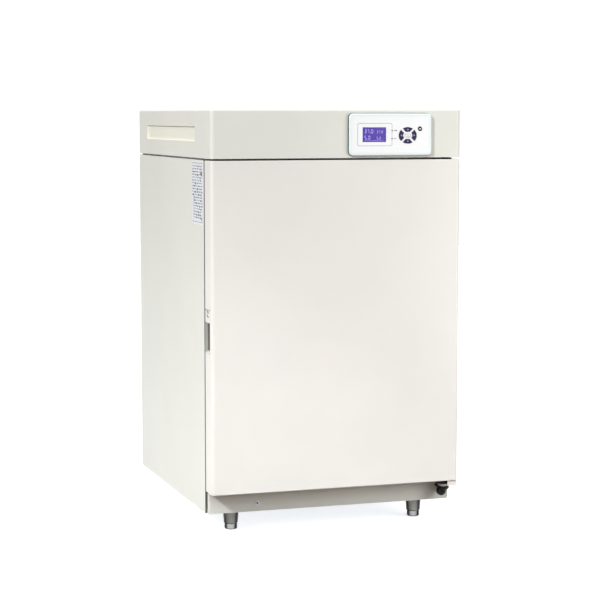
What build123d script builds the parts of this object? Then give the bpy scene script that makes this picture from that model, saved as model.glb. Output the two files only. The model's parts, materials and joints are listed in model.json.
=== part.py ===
"""Bench-standing carbon-dioxide cell-culture incubator, 80 litre class.

A sheet-steel cabinet on four screwed feet holds an insulated stainless chamber behind an inner
glass door and an insulated outer door. The control hood on top carries the keys, the display and
the gas and power parts. Frame: +Z up, the door faces -Y, +X is to the right seen from the front,
and the origin is on the floor under the middle of the whole object.
"""
from build123d import *
from math import sqrt
import os

os.makedirs("parts", exist_ok=True)

# ---------------------------------------------------------------- driving dimensions, in mm
WIDTH = 590.0            # over the side panels
BODY_DEPTH = 614.0       # front frame to rear panel
BODY_HEIGHT = 906.0      # underside of the base to the top of the hood
FOOT_HEIGHT = 48.0       # floor to the underside of the base, with the feet screwed right in
HOOD_HEIGHT = 107.0
DOOR_SEAM = 4.5          # between the hood and the top of the door
DOOR_THICKNESS = 53.0
DOOR_GAP = 10.0          # between the closed door and the front frame, filled by the gasket
DOOR_LIFT = 51.0         # underside of the base to the bottom of the door
PANEL_PROUD = 8.0        # how far the keys stand in front of the hood
REAR_FITTING = 20.0      # how far the gas inlet stands behind the rear panel
CHAMBER_WIDTH = 400.0
CHAMBER_HEIGHT = 500.0
CHAMBER_DEPTH = 430.0    # mouth to rear wall, the fan space included
CHAMBER_LIFT = 173.0     # underside of the base to the chamber floor
RECESS_DEPTH = 25.0      # the front frame's step back to the chamber mouth
RECESS_WIDTH = 466.0
RECESS_HEIGHT = 586.0
FAN_SPACE = 30.0
SHEET = 1.2              # painted steel sheet
WALL = 1.2               # stainless sheet
EDGE_RADIUS = 8.0        # upright front edges of the hood and the door
TOP_RADIUS = 3.0
SHAFT_FIT = 0.06         # radial clearance of pins and shafts
BODY_CLEARANCE = 0.3     # between pieces that move past each other

# ---------------------------------------------------------------- places worked out from them
HALF = WIDTH / 2
TOTAL_DEPTH = PANEL_PROUD + DOOR_THICKNESS + DOOR_GAP + BODY_DEPTH + REAR_FITTING
Y_FRONT = -TOTAL_DEPTH / 2 + PANEL_PROUD        # front of the door and the hood
Y_DOOR_REAR = Y_FRONT + DOOR_THICKNESS
Y_BODY = Y_DOOR_REAR + DOOR_GAP                 # front plane of the cabinet
Y_REAR = Y_BODY + BODY_DEPTH
Y_MOUTH = Y_BODY + RECESS_DEPTH
Y_CHAMBER_END = Y_MOUTH + CHAMBER_DEPTH
Y_FAN_COVER = Y_CHAMBER_END - FAN_SPACE
Z_BASE = FOOT_HEIGHT
Z_TOP = Z_BASE + BODY_HEIGHT
Z_HOOD = Z_TOP - HOOD_HEIGHT
Z_DOOR_TOP = Z_HOOD - DOOR_SEAM
Z_CABINET_TOP = Z_DOOR_TOP + 0.5
Z_DOOR_BOTTOM = Z_BASE + DOOR_LIFT
Z_CHAMBER_FLOOR = Z_BASE + CHAMBER_LIFT
Z_CHAMBER_MID = Z_CHAMBER_FLOOR + CHAMBER_HEIGHT / 2
CHAMBER_RADIUS = 25.0

# Outer door hinge: upright axis near the door's right edge, ahead of the cabinet. The door's rear
# corner turns about it just clear of the front frame.
PIVOT_X = HALF - 24.5
PIVOT_Y = Y_BODY - 38.0
PIN_RADIUS = 4.0
ARM = 3.0                # thickness of the bracket arms
UPPER_ARM = 12.0         # half width of the upper bracket
SEAT_RADIUS = 12.0       # the lower bracket's round seat

# Control panel on the hood
PANEL_WIDTH = 198.0
PANEL_HEIGHT = 94.5
PANEL_RADIUS = 10.0
PANEL_LINE = 0.5         # how far the dark gasket shows round the bezel
GASKET_SHIFT = 0.7       # the gasket sits this far to the left of the bezel
PANEL_X = 122.5
PANEL_Z = Z_HOOD + 51.8
Y_BEZEL = Y_FRONT - PANEL_PROUD + 1.0           # front face of the bezel
BEZEL_THICKNESS = 3.5
BEZEL_ROUND = 3.2
KEY_X = 163.0
KEY_Z = Z_HOOD + 50.0
KEY_TRAVEL = 0.8
POWER_KEY = (192.5, Z_HOOD + 64.9)
POWER_KEY_RADIUS = 5.0
DISPLAY = (83.0, Z_HOOD + 51.8)
DISPLAY_SIZE = (56.3, 33.0)
DISPLAY_LINE = (83.0, 51.0, 4.0, 1.0)     # groove round the display: width, height, radius, border
DISPLAY_LINE_SHIFT = 1.2                  # the groove's middle, to the right of the display's
LAMP_RADIUS = 1.5
LAMPS = ((125.5, Z_HOOD + 61.0), (125.5, Z_HOOD + 43.0))

# Gas and power on the hood's rear panel
Y_HOOD_REAR = Y_REAR - SHEET
GAS = (150.0, Z_HOOD + 58.0)
MAINS = (-200.0, Z_HOOD + 50.0)

FAN_Z = Z_CHAMBER_MID + 60.0
FOOT_X = 224.0
FOOT_ROWS = {"front": Y_BODY + 38.0, "rear": Y_REAR - 38.0}


def front(y):
    """Sketch plane at depth y whose local axes are X and Z; extrude(-t) goes back by t."""
    return Plane.XZ.offset(-y)


def block(x, y, z, mode=Mode.ADD):
    """A box between the pairs x, y and z, in the part being built."""
    with Locations(((x[0] + x[1]) / 2, (y[0] + y[1]) / 2, (z[0] + z[1]) / 2)):
        Box(x[1] - x[0], y[1] - y[0], z[1] - z[0], mode=mode)


def ring(width, height, radius, border):
    """A rectangular frame outline, border wide, measured over its outside."""
    RectangleRounded(width, height, radius)
    RectangleRounded(width - 2 * border, height - 2 * border, max(radius - border, 1), mode=Mode.SUBTRACT)


def save(piece, name):
    """Label a finished piece and write it as one STEP file."""
    piece.part.label = name
    export_step(piece.part, f"parts/{name}.step")


# ================================================================ cabinet
PANEL_RETURN = 14.0      # width of the panels' folded front and rear edges
SCREW_X = HALF - 8.0
REAR_SCREW_Z = [Z_BASE + 30 + step * (Z_CABINET_TOP - Z_BASE - 60) / 3 for step in range(4)]
SCREW_HOLE = 2.2         # radius of the clearance holes
TAPPED_HOLE = 1.85       # radius of the holes that the screws bite into


def side_panel(side):
    """A side panel folded inwards along its front and rear edges; side is -1 left, 1 right."""
    depth = BODY_DEPTH - SHEET
    with BuildPart() as panel:
        with BuildSketch(Plane.XY.offset(Z_BASE)) as plan:
            with Locations((side * (HALF - PANEL_RETURN / 2), Y_BODY + depth / 2)):
                Rectangle(PANEL_RETURN, depth)
            fillet(plan.vertices().group_by(Axis.X)[(side + 1) // 2 * -1], TOP_RADIUS)
            with Locations((side * (HALF - SHEET - PANEL_RETURN / 2), Y_BODY + depth / 2)):
                Rectangle(PANEL_RETURN, depth - 2 * SHEET, mode=Mode.SUBTRACT)
        extrude(amount=Z_CABINET_TOP - Z_BASE)
        with BuildSketch(front(Y_REAR)):
            with Locations([(side * SCREW_X, z) for z in REAR_SCREW_Z]):
                Circle(TAPPED_HOLE)
        extrude(amount=6, mode=Mode.SUBTRACT)
    return panel


left_side_panel = side_panel(-1)
save(left_side_panel, "left_side_panel")
right_side_panel = side_panel(1)
save(right_side_panel, "right_side_panel")

# Rear panel: flat sheet over the side panels' rear edges, with a patch of cooling slots
REAR_SCREWS = [(side * SCREW_X, z) for side in (-1, 1) for z in REAR_SCREW_Z]

with BuildPart() as rear_panel:
    with BuildSketch(front(Y_REAR - SHEET)):
        with Locations((0, (Z_BASE + Z_CABINET_TOP) / 2)):
            Rectangle(WIDTH, Z_CABINET_TOP - Z_BASE)
        with Locations(REAR_SCREWS):
            Circle(SCREW_HOLE, mode=Mode.SUBTRACT)
        with Locations((0, FAN_Z)):
            with GridLocations(46, 12, 3, 7):
                SlotOverall(36, 5, mode=Mode.SUBTRACT)
    extrude(amount=-SHEET)
save(rear_panel, "rear_panel")

# Base pan: shallow tray between the side panels, with a clearance hole over each foot
with BuildPart() as base_pan:
    inner = HALF - SHEET - 0.2
    pan_y = (Y_BODY + SHEET + 0.2, Y_REAR - 2 * SHEET - 0.2)
    block((-inner, inner), pan_y, (Z_BASE, Z_BASE + 18))
    fillet(base_pan.edges().filter_by(Axis.Z), 2)
    block((-inner + SHEET, inner - SHEET), (pan_y[0] + SHEET, pan_y[1] - SHEET),
          (Z_BASE + SHEET, Z_BASE + 19), Mode.SUBTRACT)
    with Locations([(side * FOOT_X, y, Z_BASE) for side in (-1, 1) for y in FOOT_ROWS.values()]):
        Cylinder(8, 10, mode=Mode.SUBTRACT)
save(base_pan, "base_pan")

# Front frame: painted face, a step back to the chamber mouth, and the ring that holds the seal
FRAME_BOTTOM = Z_BASE + 19.0
FRAME_HALF = HALF - PANEL_RETURN - 0.5
RECESS_RADIUS = 18.0

with BuildPart() as front_frame:
    with BuildSketch(front(Y_BODY)):
        with Locations((0, (FRAME_BOTTOM + Z_CABINET_TOP) / 2)):
            Rectangle(2 * FRAME_HALF, Z_CABINET_TOP - FRAME_BOTTOM)
        with Locations((0, Z_CHAMBER_MID)):
            RectangleRounded(RECESS_WIDTH, RECESS_HEIGHT, RECESS_RADIUS, mode=Mode.SUBTRACT)
    extrude(amount=-SHEET)
    with BuildSketch(front(Y_BODY)):
        with Locations((0, Z_CHAMBER_MID)):
            ring(RECESS_WIDTH + 2 * SHEET, RECESS_HEIGHT + 2 * SHEET, RECESS_RADIUS + SHEET, SHEET)
    extrude(amount=-RECESS_DEPTH)
    with BuildSketch(front(Y_MOUTH - SHEET)):
        with Locations((0, Z_CHAMBER_MID)):
            RectangleRounded(RECESS_WIDTH + 2 * SHEET, RECESS_HEIGHT + 2 * SHEET, RECESS_RADIUS + SHEET)
            RectangleRounded(CHAMBER_WIDTH, CHAMBER_HEIGHT, CHAMBER_RADIUS, mode=Mode.SUBTRACT)
    extrude(amount=-SHEET)
save(front_frame, "front_frame")

# Kick plate: folded cover under the door, notched at the right for the lower hinge
KICK_TOP = Z_DOOR_BOTTOM - 4.5
KICK_FRONT = Y_BODY - 16.0
KICK_X = (-HALF + 4.0, HALF - 7.0)
KICK_NARROWER = 12.0     # how much narrower the rear part is at each end
KICK_SCREW = (-177.0, Z_BASE + 19.0)
NOTCH_X = PIVOT_X - SEAT_RADIUS - 1.0
NOTCH_Z = Z_BASE + 29.0

with BuildPart() as kick_plate:
    block(KICK_X, (KICK_FRONT, KICK_FRONT + 7), (Z_BASE, KICK_TOP))
    block((KICK_X[0] + KICK_NARROWER, KICK_X[1] - KICK_NARROWER), (KICK_FRONT, Y_BODY), (Z_BASE, KICK_TOP))
    fillet(kick_plate.edges().filter_by(Axis.Z).group_by(Axis.Y)[0], 2)
    block((KICK_X[0] + SHEET, KICK_X[1] - SHEET), (KICK_FRONT + SHEET, Y_BODY + 1),
          (Z_BASE + SHEET, KICK_TOP - SHEET), Mode.SUBTRACT)
    block((NOTCH_X, HALF), (KICK_FRONT - 1, Y_BODY + 1), (NOTCH_Z, KICK_TOP + 1), Mode.SUBTRACT)
    with BuildSketch(front(KICK_FRONT - 1)):
        with Locations(KICK_SCREW):
            Circle(SCREW_HOLE)
    extrude(amount=-4, mode=Mode.SUBTRACT)
save(kick_plate, "kick_plate")

# Top deck: tray that closes the cabinet and carries the hood and its electrical parts
DECK_HALF = HALF - 6.0
DECK_RIM = 25.0
HOOD_SCREW_X = (-HALF + 14, 0.0, HALF - 14)
HOOD_SCREW_Z = (Z_HOOD + 12.0, Z_TOP - 12.0)

with BuildPart() as top_deck:
    block((-DECK_HALF, DECK_HALF), (Y_BODY, Y_REAR - 5), (Z_CABINET_TOP, Z_CABINET_TOP + DECK_RIM))
    block((-DECK_HALF + SHEET, DECK_HALF - SHEET), (Y_BODY + SHEET, Y_REAR - 5 - SHEET),
          (Z_CABINET_TOP + SHEET, Z_TOP), Mode.SUBTRACT)
    with Locations((GAS[0], Y_REAR - 70, Z_CABINET_TOP), (0, Y_REAR - 60, Z_CABINET_TOP)):
        Cylinder(9, 10, mode=Mode.SUBTRACT)
    with BuildSketch(front(Y_REAR)):
        with Locations([(x, HOOD_SCREW_Z[0]) for x in HOOD_SCREW_X]):
            Circle(TAPPED_HOLE)
    extrude(amount=8, mode=Mode.SUBTRACT)
save(top_deck, "top_deck")

# ================================================================ chamber and insulation
CO2_PORT = (GAS[0], Z_CHAMBER_FLOOR + 379.0)
PROBE_PORT = (100.0, Z_CHAMBER_FLOOR + 429.0)
SENSOR_PORT = (-120.0, Z_CHAMBER_FLOOR + 419.0)
SENSOR_RADIUS = 13.0
PROBE_RADIUS = 3.0
HOSE = 4.5               # outside radius of the gas hose
SHAFT_RADIUS = 4.0       # of the fan

with BuildPart() as chamber:
    with BuildSketch(front(Y_MOUTH)):
        with Locations((0, Z_CHAMBER_MID)):
            RectangleRounded(CHAMBER_WIDTH + 2 * WALL, CHAMBER_HEIGHT + 2 * WALL, CHAMBER_RADIUS + WALL)
    extrude(amount=-(CHAMBER_DEPTH + WALL))
    with BuildSketch(front(Y_MOUTH)):
        with Locations((0, Z_CHAMBER_MID)):
            RectangleRounded(CHAMBER_WIDTH, CHAMBER_HEIGHT, CHAMBER_RADIUS)
    extrude(amount=-CHAMBER_DEPTH, mode=Mode.SUBTRACT)
    with BuildSketch(front(Y_CHAMBER_END)):
        with Locations((0, FAN_Z)):
            Circle(SHAFT_RADIUS + 2)
        with Locations(CO2_PORT):
            Circle(HOSE + 0.1)
        with Locations(PROBE_PORT):
            Circle(PROBE_RADIUS + 0.1)
        with Locations(SENSOR_PORT):
            Circle(SENSOR_RADIUS + 0.2)
    extrude(amount=-(WALL + 1), mode=Mode.SUBTRACT)
save(chamber, "chamber")

# Heater mats: thin silicone mats on the chamber's sides and underside
MAT = 1.5
MAT_MARGIN = 60.0        # left bare at the top and bottom of the sides
FLOOR_MAT_HALF = 140.0
side_wall = CHAMBER_WIDTH / 2 + WALL
floor_under = Z_CHAMBER_FLOOR - WALL
mat_y = (Y_MOUTH + 40, Y_CHAMBER_END - 40)
mat_z = (Z_CHAMBER_FLOOR + MAT_MARGIN, Z_CHAMBER_FLOOR + CHAMBER_HEIGHT - MAT_MARGIN)

with BuildPart() as heater_mats:
    for side in (-1, 1):
        inner_x = side * side_wall
        outer_x = side * (side_wall + MAT)
        block((min(inner_x, outer_x), max(inner_x, outer_x)), mat_y, mat_z)
    block((-FLOOR_MAT_HALF, FLOOR_MAT_HALF), mat_y, (floor_under - MAT, floor_under))
save(heater_mats, "heater_mats")

# Insulation: five rigid slabs round the chamber; the rear one is bored for what passes through
SLAB = 70.0
SLAB_FIT = 0.5
MOTOR_BOLTS = 84.0       # square on which the fan motor's four spacers stand
slab_gap = MAT + SLAB_FIT
near_x = side_wall + slab_gap
slab_y = (Y_MOUTH + SLAB_FIT, Y_CHAMBER_END + WALL + SLAB_FIT + SLAB)
low_z = floor_under - slab_gap
high_z = Z_CHAMBER_FLOOR + CHAMBER_HEIGHT + WALL + SLAB_FIT
rear_y = (slab_y[1] - SLAB, slab_y[1])
mid_x = (-near_x + SLAB_FIT, near_x - SLAB_FIT)

with BuildPart() as insulation_slabs:
    block((-near_x - SLAB, -near_x), slab_y, (low_z - SLAB, high_z + SLAB))
    block((near_x, near_x + SLAB), slab_y, (low_z - SLAB, high_z + SLAB))
    block(mid_x, slab_y, (high_z, high_z + SLAB))
    block(mid_x, slab_y, (low_z - SLAB, low_z))
    block(mid_x, rear_y, (low_z + SLAB_FIT, high_z - SLAB_FIT))
    with BuildSketch(front(rear_y[0] - 1)):
        with Locations((0, FAN_Z), CO2_PORT, PROBE_PORT):
            Circle(2 * HOSE)
        with Locations(SENSOR_PORT):
            Circle(SENSOR_RADIUS + 1)
        with Locations((0, FAN_Z)):
            with GridLocations(MOTOR_BOLTS, MOTOR_BOLTS, 2, 2):
                Circle(4)
    extrude(amount=-(SLAB + 2), mode=Mode.SUBTRACT)
save(insulation_slabs, "insulation_slabs")

# Seal for the glass door: a silicone frame round the chamber mouth
SEAL_THICKNESS = 6.0
SEAL_OUT = 15.0          # how far it reaches out past the mouth

with BuildPart() as glass_door_seal:
    with BuildSketch(front(Y_MOUTH - SHEET)):
        with Locations((0, Z_CHAMBER_MID)):
            ring(CHAMBER_WIDTH + 2 * SEAL_OUT, CHAMBER_HEIGHT + 2 * SEAL_OUT, CHAMBER_RADIUS + 8, 11)
    extrude(amount=SEAL_THICKNESS)
    fillet(glass_door_seal.faces().sort_by(Axis.Y)[0].edges(), 2)
save(glass_door_seal, "glass_door_seal")

# Shelf racks: two slotted uprights a side, joined by ledges that carry the shelves
RACK_X = CHAMBER_WIDTH / 2 - 2.0
LEDGE = 22.0
LEDGE_PITCH = 60.0
LEDGE_COUNT = 7
RACK_SHEET = 2.0
RACK_LIP = 12.0          # height of the ledges' and the shelves' turned edges
UPRIGHT = 20.0
RACK_Y = (Y_MOUTH + 25, Y_FAN_COVER - 20)

with BuildPart() as shelf_racks:
    for side in (-1, 1):
        for y in (RACK_Y[0] + 30, RACK_Y[1] - 50):
            block(sorted((side * RACK_X, side * (RACK_X - RACK_SHEET))), (y, y + UPRIGHT),
                  (Z_CHAMBER_FLOOR + 30, Z_CHAMBER_FLOOR + 470))
        for step in range(1, LEDGE_COUNT + 1):
            z = Z_CHAMBER_FLOOR + step * LEDGE_PITCH
            outer_x = side * (RACK_X - RACK_SHEET)
            block(sorted((outer_x, side * (RACK_X - LEDGE))), RACK_Y, (z - SHEET, z))
            block(sorted((outer_x, outer_x - side * SHEET)), RACK_Y, (z - RACK_LIP, z))
save(shelf_racks, "shelf_racks")


def shelf(ledge):
    """A perforated stainless shelf with turned-down front and rear lips, on the given ledge."""
    z = Z_CHAMBER_FLOOR + ledge * LEDGE_PITCH
    depth = (RACK_Y[0] + 5, RACK_Y[1] - 2)
    half = RACK_X - 4
    lip = half - LEDGE - 2
    with BuildPart() as plate:
        block((-half, half), depth, (z, z + WALL))
        for y in (depth[0], depth[1] - WALL):
            block((-lip, lip), (y, y + WALL), (z - RACK_LIP, z + WALL))
        with BuildSketch(Plane.XY.offset(z - 1)):
            with Locations((0, (depth[0] + depth[1]) / 2)):
                with GridLocations(44, 24, 7, 13):
                    SlotOverall(32, 10)
        extrude(amount=WALL + 2, mode=Mode.SUBTRACT)
    return plate


SHELF_LEDGES = {"shelf_lower": 2, "shelf_upper": 5}
for shelf_name, ledge_number in SHELF_LEDGES.items():
    save(shelf(ledge_number), shelf_name)

# Water tray on the chamber floor, which keeps the air humid
TRAY_HALF = 140.0
TRAY_HEIGHT = 42.0

with BuildPart() as water_tray:
    tray_y = (Y_MOUTH + 70, Y_MOUTH + 300)
    block((-TRAY_HALF, TRAY_HALF), tray_y, (Z_CHAMBER_FLOOR, Z_CHAMBER_FLOOR + TRAY_HEIGHT))
    fillet(water_tray.edges().filter_by(Axis.Z), 18)
    fillet(water_tray.faces().sort_by(Axis.Z)[0].edges(), 5)
    offset(amount=-WALL, openings=water_tray.faces().sort_by(Axis.Z)[-1])
save(water_tray, "water_tray")

# Fan cover: a stainless tray turned to the rear wall, with an intake over the rotor and side vents
COVER_HALF = 190.0
COVER_Z = (Z_CHAMBER_FLOOR + 10, Z_CHAMBER_FLOOR + 490)
COVER_RADIUS = 14.0
INTAKE = ((18, 8), (31, 14), (44, 20))   # radius and number of holes in each ring of the intake

with BuildPart() as fan_cover:
    block((-COVER_HALF, COVER_HALF), (Y_FAN_COVER, Y_CHAMBER_END), COVER_Z)
    fillet(fan_cover.edges().filter_by(Axis.Y), COVER_RADIUS)
    with BuildSketch(front(Y_FAN_COVER + WALL)):
        with Locations((0, (COVER_Z[0] + COVER_Z[1]) / 2)):
            RectangleRounded(2 * COVER_HALF - 2 * WALL, COVER_Z[1] - COVER_Z[0] - 2 * WALL,
                             COVER_RADIUS - WALL)
    extrude(amount=-FAN_SPACE, mode=Mode.SUBTRACT)
    with BuildSketch(front(Y_FAN_COVER - 1)):
        with Locations((0, FAN_Z)):
            Circle(5)
            for radius, count in INTAKE:
                with PolarLocations(radius, count):
                    Circle(4)
        with Locations((0, FAN_Z - 50)):
            with GridLocations(300, 22, 2, 14):
                SlotOverall(40, 6)
        with Locations(SENSOR_PORT):
            Circle(SENSOR_RADIUS + 0.5)
        with Locations(PROBE_PORT):
            Circle(PROBE_RADIUS + 0.5)
    extrude(amount=-(WALL + 2), mode=Mode.SUBTRACT)
save(fan_cover, "fan_cover")

# ================================================================ circulation fan
MOTOR_Y = slab_y[1] + 0.3
ROTOR_Y = Y_FAN_COVER + 6.0
BLADE_DEPTH = 16.0
ROTOR_RADIUS = 55.0
HUB_RADIUS = 11.0
MOTOR_FLANGE = 104.0
MOTOR_BODY = (36.0, 44.0)    # radius and length

with BuildPart() as fan_rotor:
    with BuildSketch(front(ROTOR_Y + BLADE_DEPTH)):
        with Locations((0, FAN_Z)):
            Circle(ROTOR_RADIUS)
    extrude(amount=-WALL)
    with BuildSketch(front(ROTOR_Y)):
        with Locations((0, FAN_Z)):
            Circle(HUB_RADIUS)
            with PolarLocations(36, 12, rotate=True):
                Rectangle(36, 1.6, rotation=28)
    extrude(amount=-BLADE_DEPTH)
    with BuildSketch(front(ROTOR_Y)):
        with Locations((0, FAN_Z)):
            Circle(SHAFT_RADIUS)
    extrude(amount=-(MOTOR_Y + 24 - ROTOR_Y))
save(fan_rotor, "fan_rotor")

with BuildPart() as fan_motor:
    with BuildSketch(front(MOTOR_Y)):
        with Locations((0, FAN_Z)):
            RectangleRounded(MOTOR_FLANGE, MOTOR_FLANGE, 8)
    extrude(amount=-2)
    with BuildSketch(front(MOTOR_Y + 2)):
        with Locations((0, FAN_Z)):
            Circle(MOTOR_BODY[0])
    extrude(amount=-MOTOR_BODY[1])
    chamfer(fan_motor.faces().sort_by(Axis.Y)[-1].edges(), 5)
    with BuildSketch(front(MOTOR_Y)):
        with Locations((0, FAN_Z)):
            with GridLocations(MOTOR_BOLTS, MOTOR_BOLTS, 2, 2):
                Circle(2.5)
    extrude(amount=MOTOR_Y - Y_CHAMBER_END - WALL)
    with BuildSketch(front(MOTOR_Y - 1)):
        with Locations((0, FAN_Z)):
            Circle(SHAFT_RADIUS + SHAFT_FIT)
    extrude(amount=-30, mode=Mode.SUBTRACT)
save(fan_motor, "fan_motor")

# ================================================================ sensors
with BuildPart() as co2_sensor:
    with BuildSketch(front(Y_FAN_COVER - 26)):
        with Locations(SENSOR_PORT):
            Circle(SENSOR_RADIUS - 2)
    extrude(amount=-30)
    with BuildSketch(front(Y_FAN_COVER - 2)):
        with Locations(SENSOR_PORT):
            Circle(SENSOR_RADIUS)
    extrude(amount=-(slab_y[1] - Y_FAN_COVER + 22))
    fillet(co2_sensor.faces().sort_by(Axis.Y)[0].edges(), 3)
save(co2_sensor, "co2_sensor")

with BuildPart() as temperature_probe:
    with BuildSketch(front(Y_FAN_COVER - 46)):
        with Locations(PROBE_PORT):
            Circle(PROBE_RADIUS)
    extrude(amount=-(slab_y[1] - Y_FAN_COVER + 66))
    fillet(temperature_probe.faces().sort_by(Axis.Y)[0].edges(), 2.5)
    with BuildSketch(front(slab_y[1] + 4)):
        with Locations(PROBE_PORT):
            RegularPolygon(8, 6)
    extrude(amount=-8)
save(temperature_probe, "temperature_probe")

# ================================================================ control hood
TRAY_Y = (Y_BODY + 72.0, Y_BODY + 532.0)
TRAY_Z = (Z_HOOD + 36.0, Z_HOOD + 71.0)
TRAY_DEPTH = 4.2
APERTURE = 7.0           # how far the hood's cut-out stays inside the bezel's edge


def hood_plan(inset):
    """The hood's plan outline pulled in by inset, running on past the open rear when hollowed."""
    depth = Y_REAR - Y_FRONT + (1 if inset else 0)
    with Locations((0, Y_FRONT + inset + depth / 2)):
        Rectangle(WIDTH - 2 * inset, depth)


with BuildPart() as hood_shell:
    with BuildSketch(Plane.XY.offset(Z_HOOD)) as outside:
        hood_plan(0)
        fillet(outside.vertices().group_by(Axis.Y)[0], EDGE_RADIUS)
    extrude(amount=HOOD_HEIGHT)
    fillet(hood_shell.faces().sort_by(Axis.Z)[-1].edges().sort_by(Axis.Y)[:-1], TOP_RADIUS)
    with BuildSketch(Plane.XY.offset(Z_HOOD + SHEET)) as inside:
        hood_plan(SHEET)
        fillet(inside.vertices().group_by(Axis.Y)[0], EDGE_RADIUS - SHEET)
    extrude(amount=HOOD_HEIGHT - 2 * SHEET, mode=Mode.SUBTRACT)
    floor_z = (Z_HOOD - 1, Z_HOOD + SHEET + 1)
    block((-DECK_HALF, DECK_HALF), (Y_BODY, Y_REAR + 1), floor_z, Mode.SUBTRACT)
    block((PIVOT_X - UPPER_ARM - 0.3, PIVOT_X + UPPER_ARM + 0.3), (Y_BODY - ARM - 0.3, Y_BODY), floor_z,
          Mode.SUBTRACT)
    block((-HALF - 1, HALF + 1), TRAY_Y, TRAY_Z, Mode.SUBTRACT)
    with BuildSketch(front(Y_FRONT - 1)):
        with Locations((PANEL_X, PANEL_Z)):
            Rectangle(PANEL_WIDTH - 2 * APERTURE, PANEL_HEIGHT - 2 * APERTURE)
    extrude(amount=-(SHEET + 2), mode=Mode.SUBTRACT)
save(hood_shell, "hood_shell")

# Long shallow trays let into both sides of the hood
with BuildPart() as hood_recess_trays:
    for side in (-1, 1):
        block(sorted((side * HALF, side * (HALF - TRAY_DEPTH))), TRAY_Y, TRAY_Z)
        block(sorted((side * (HALF + 1), side * (HALF - TRAY_DEPTH + WALL))),
              (TRAY_Y[0] + WALL, TRAY_Y[1] - WALL), (TRAY_Z[0] + WALL, TRAY_Z[1] - WALL), Mode.SUBTRACT)
save(hood_recess_trays, "hood_recess_trays")

# Hood rear panel: inside the shell's open rear, with slots and the gas and power cut-outs
HOOD_SCREWS = [(x, z) for x in HOOD_SCREW_X for z in HOOD_SCREW_Z]
MODULE = (66.0, 34.0)

with BuildPart() as hood_rear_panel:
    with BuildSketch(front(Y_HOOD_REAR - SHEET)):
        with Locations((0, (Z_HOOD + Z_TOP) / 2)):
            Rectangle(WIDTH - 2 * SHEET - 0.4, HOOD_HEIGHT - 2 * SHEET - 0.4)
        with Locations(HOOD_SCREWS):
            Circle(SCREW_HOLE, mode=Mode.SUBTRACT)
        with Locations(MAINS):
            Rectangle(MODULE[0] - 6, MODULE[1] - 6, mode=Mode.SUBTRACT)
        with Locations(GAS):
            Circle(6, mode=Mode.SUBTRACT)
        with Locations((-20, Z_HOOD + 52)):
            with GridLocations(40, 10, 3, 6):
                SlotOverall(32, 4.5, mode=Mode.SUBTRACT)
    extrude(amount=-SHEET)
save(hood_rear_panel, "hood_rear_panel")

# ================================================================ control panel
RING_OUT = (21.4, 18.3)  # half-axes of the oval key ring
RING_IN = (11.6, 8.4)
SPOKE = 5.2              # width of the diagonal gaps between the four keys
OK_KEY = (8.0, 4.8)
KEY_GAP = 0.3
KEY_TURNS = {"key_up": 0, "key_left": 90, "key_down": 180, "key_right": 270}


def ring_key(turn, grow):
    """One quarter of the oval key ring, turned from the upper one, grown by a clearance."""
    apex = SPOKE / sqrt(2) - grow * sqrt(2)
    with Locations((KEY_X, KEY_Z)):
        Ellipse(RING_OUT[0] + grow, RING_OUT[1] + grow)
        Ellipse(RING_IN[0] - grow, RING_IN[1] - grow, mode=Mode.SUBTRACT)
        Polygon((0, apex), (40, apex + 40), (-40, apex + 40), rotation=turn, mode=Mode.INTERSECT)


Y_GASKET = Y_BEZEL + BEZEL_THICKNESS

with BuildPart() as control_bezel:
    with BuildSketch(front(Y_GASKET)):
        with Locations((PANEL_X, PANEL_Z)):
            RectangleRounded(PANEL_WIDTH, PANEL_HEIGHT, PANEL_RADIUS)
    extrude(amount=BEZEL_THICKNESS)
    fillet(control_bezel.faces().sort_by(Axis.Y)[0].edges(), BEZEL_ROUND)
    with BuildSketch(front(Y_BEZEL - 1)):
        with Locations(DISPLAY):
            Rectangle(*DISPLAY_SIZE)
        with Locations(LAMPS):
            Circle(LAMP_RADIUS + 0.1)
        with Locations((KEY_X, KEY_Z)):
            Ellipse(OK_KEY[0] + KEY_GAP, OK_KEY[1] + KEY_GAP)
        with Locations(POWER_KEY):
            Circle(POWER_KEY_RADIUS + KEY_GAP)
    extrude(amount=-(BEZEL_THICKNESS + 2), mode=Mode.SUBTRACT)
    for turn in KEY_TURNS.values():
        with BuildSketch(front(Y_BEZEL - 1)):
            ring_key(turn, KEY_GAP)
        extrude(amount=-(BEZEL_THICKNESS + 2), mode=Mode.SUBTRACT)
    with BuildSketch(front(Y_BEZEL)):
        with Locations((DISPLAY[0] + DISPLAY_LINE_SHIFT, DISPLAY[1])):
            ring(*DISPLAY_LINE)
    extrude(amount=-0.5, mode=Mode.SUBTRACT)
save(control_bezel, "control_bezel")

with BuildPart() as bezel_gasket:
    with BuildSketch(front(Y_FRONT)):
        with Locations((PANEL_X - GASKET_SHIFT, PANEL_Z)):
            ring(PANEL_WIDTH + 2 * PANEL_LINE, PANEL_HEIGHT + 2 * PANEL_LINE, PANEL_RADIUS + PANEL_LINE,
                 APERTURE + PANEL_LINE)
    extrude(amount=Y_FRONT - Y_GASKET)
save(bezel_gasket, "bezel_gasket")

with BuildPart() as display_window:
    with BuildSketch(front(Y_BEZEL + 0.3)):
        with Locations(DISPLAY):
            Rectangle(DISPLAY_SIZE[0] - 0.1, DISPLAY_SIZE[1] - 0.1)
    extrude(amount=-2)
save(display_window, "display_window")

with BuildPart() as lcd_module:
    with BuildSketch(front(Y_GASKET + 0.1)):
        with Locations(DISPLAY):
            Rectangle(DISPLAY_LINE[0] - 3, DISPLAY_LINE[1] - 3)
    extrude(amount=-6)
    with BuildSketch(front(Y_GASKET + 0.1)):
        with Locations(DISPLAY):
            Rectangle(DISPLAY_SIZE[0] - 1, DISPLAY_SIZE[1] - 1)
    extrude(amount=BEZEL_THICKNESS - 2.5)
save(lcd_module, "lcd_module")

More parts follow.
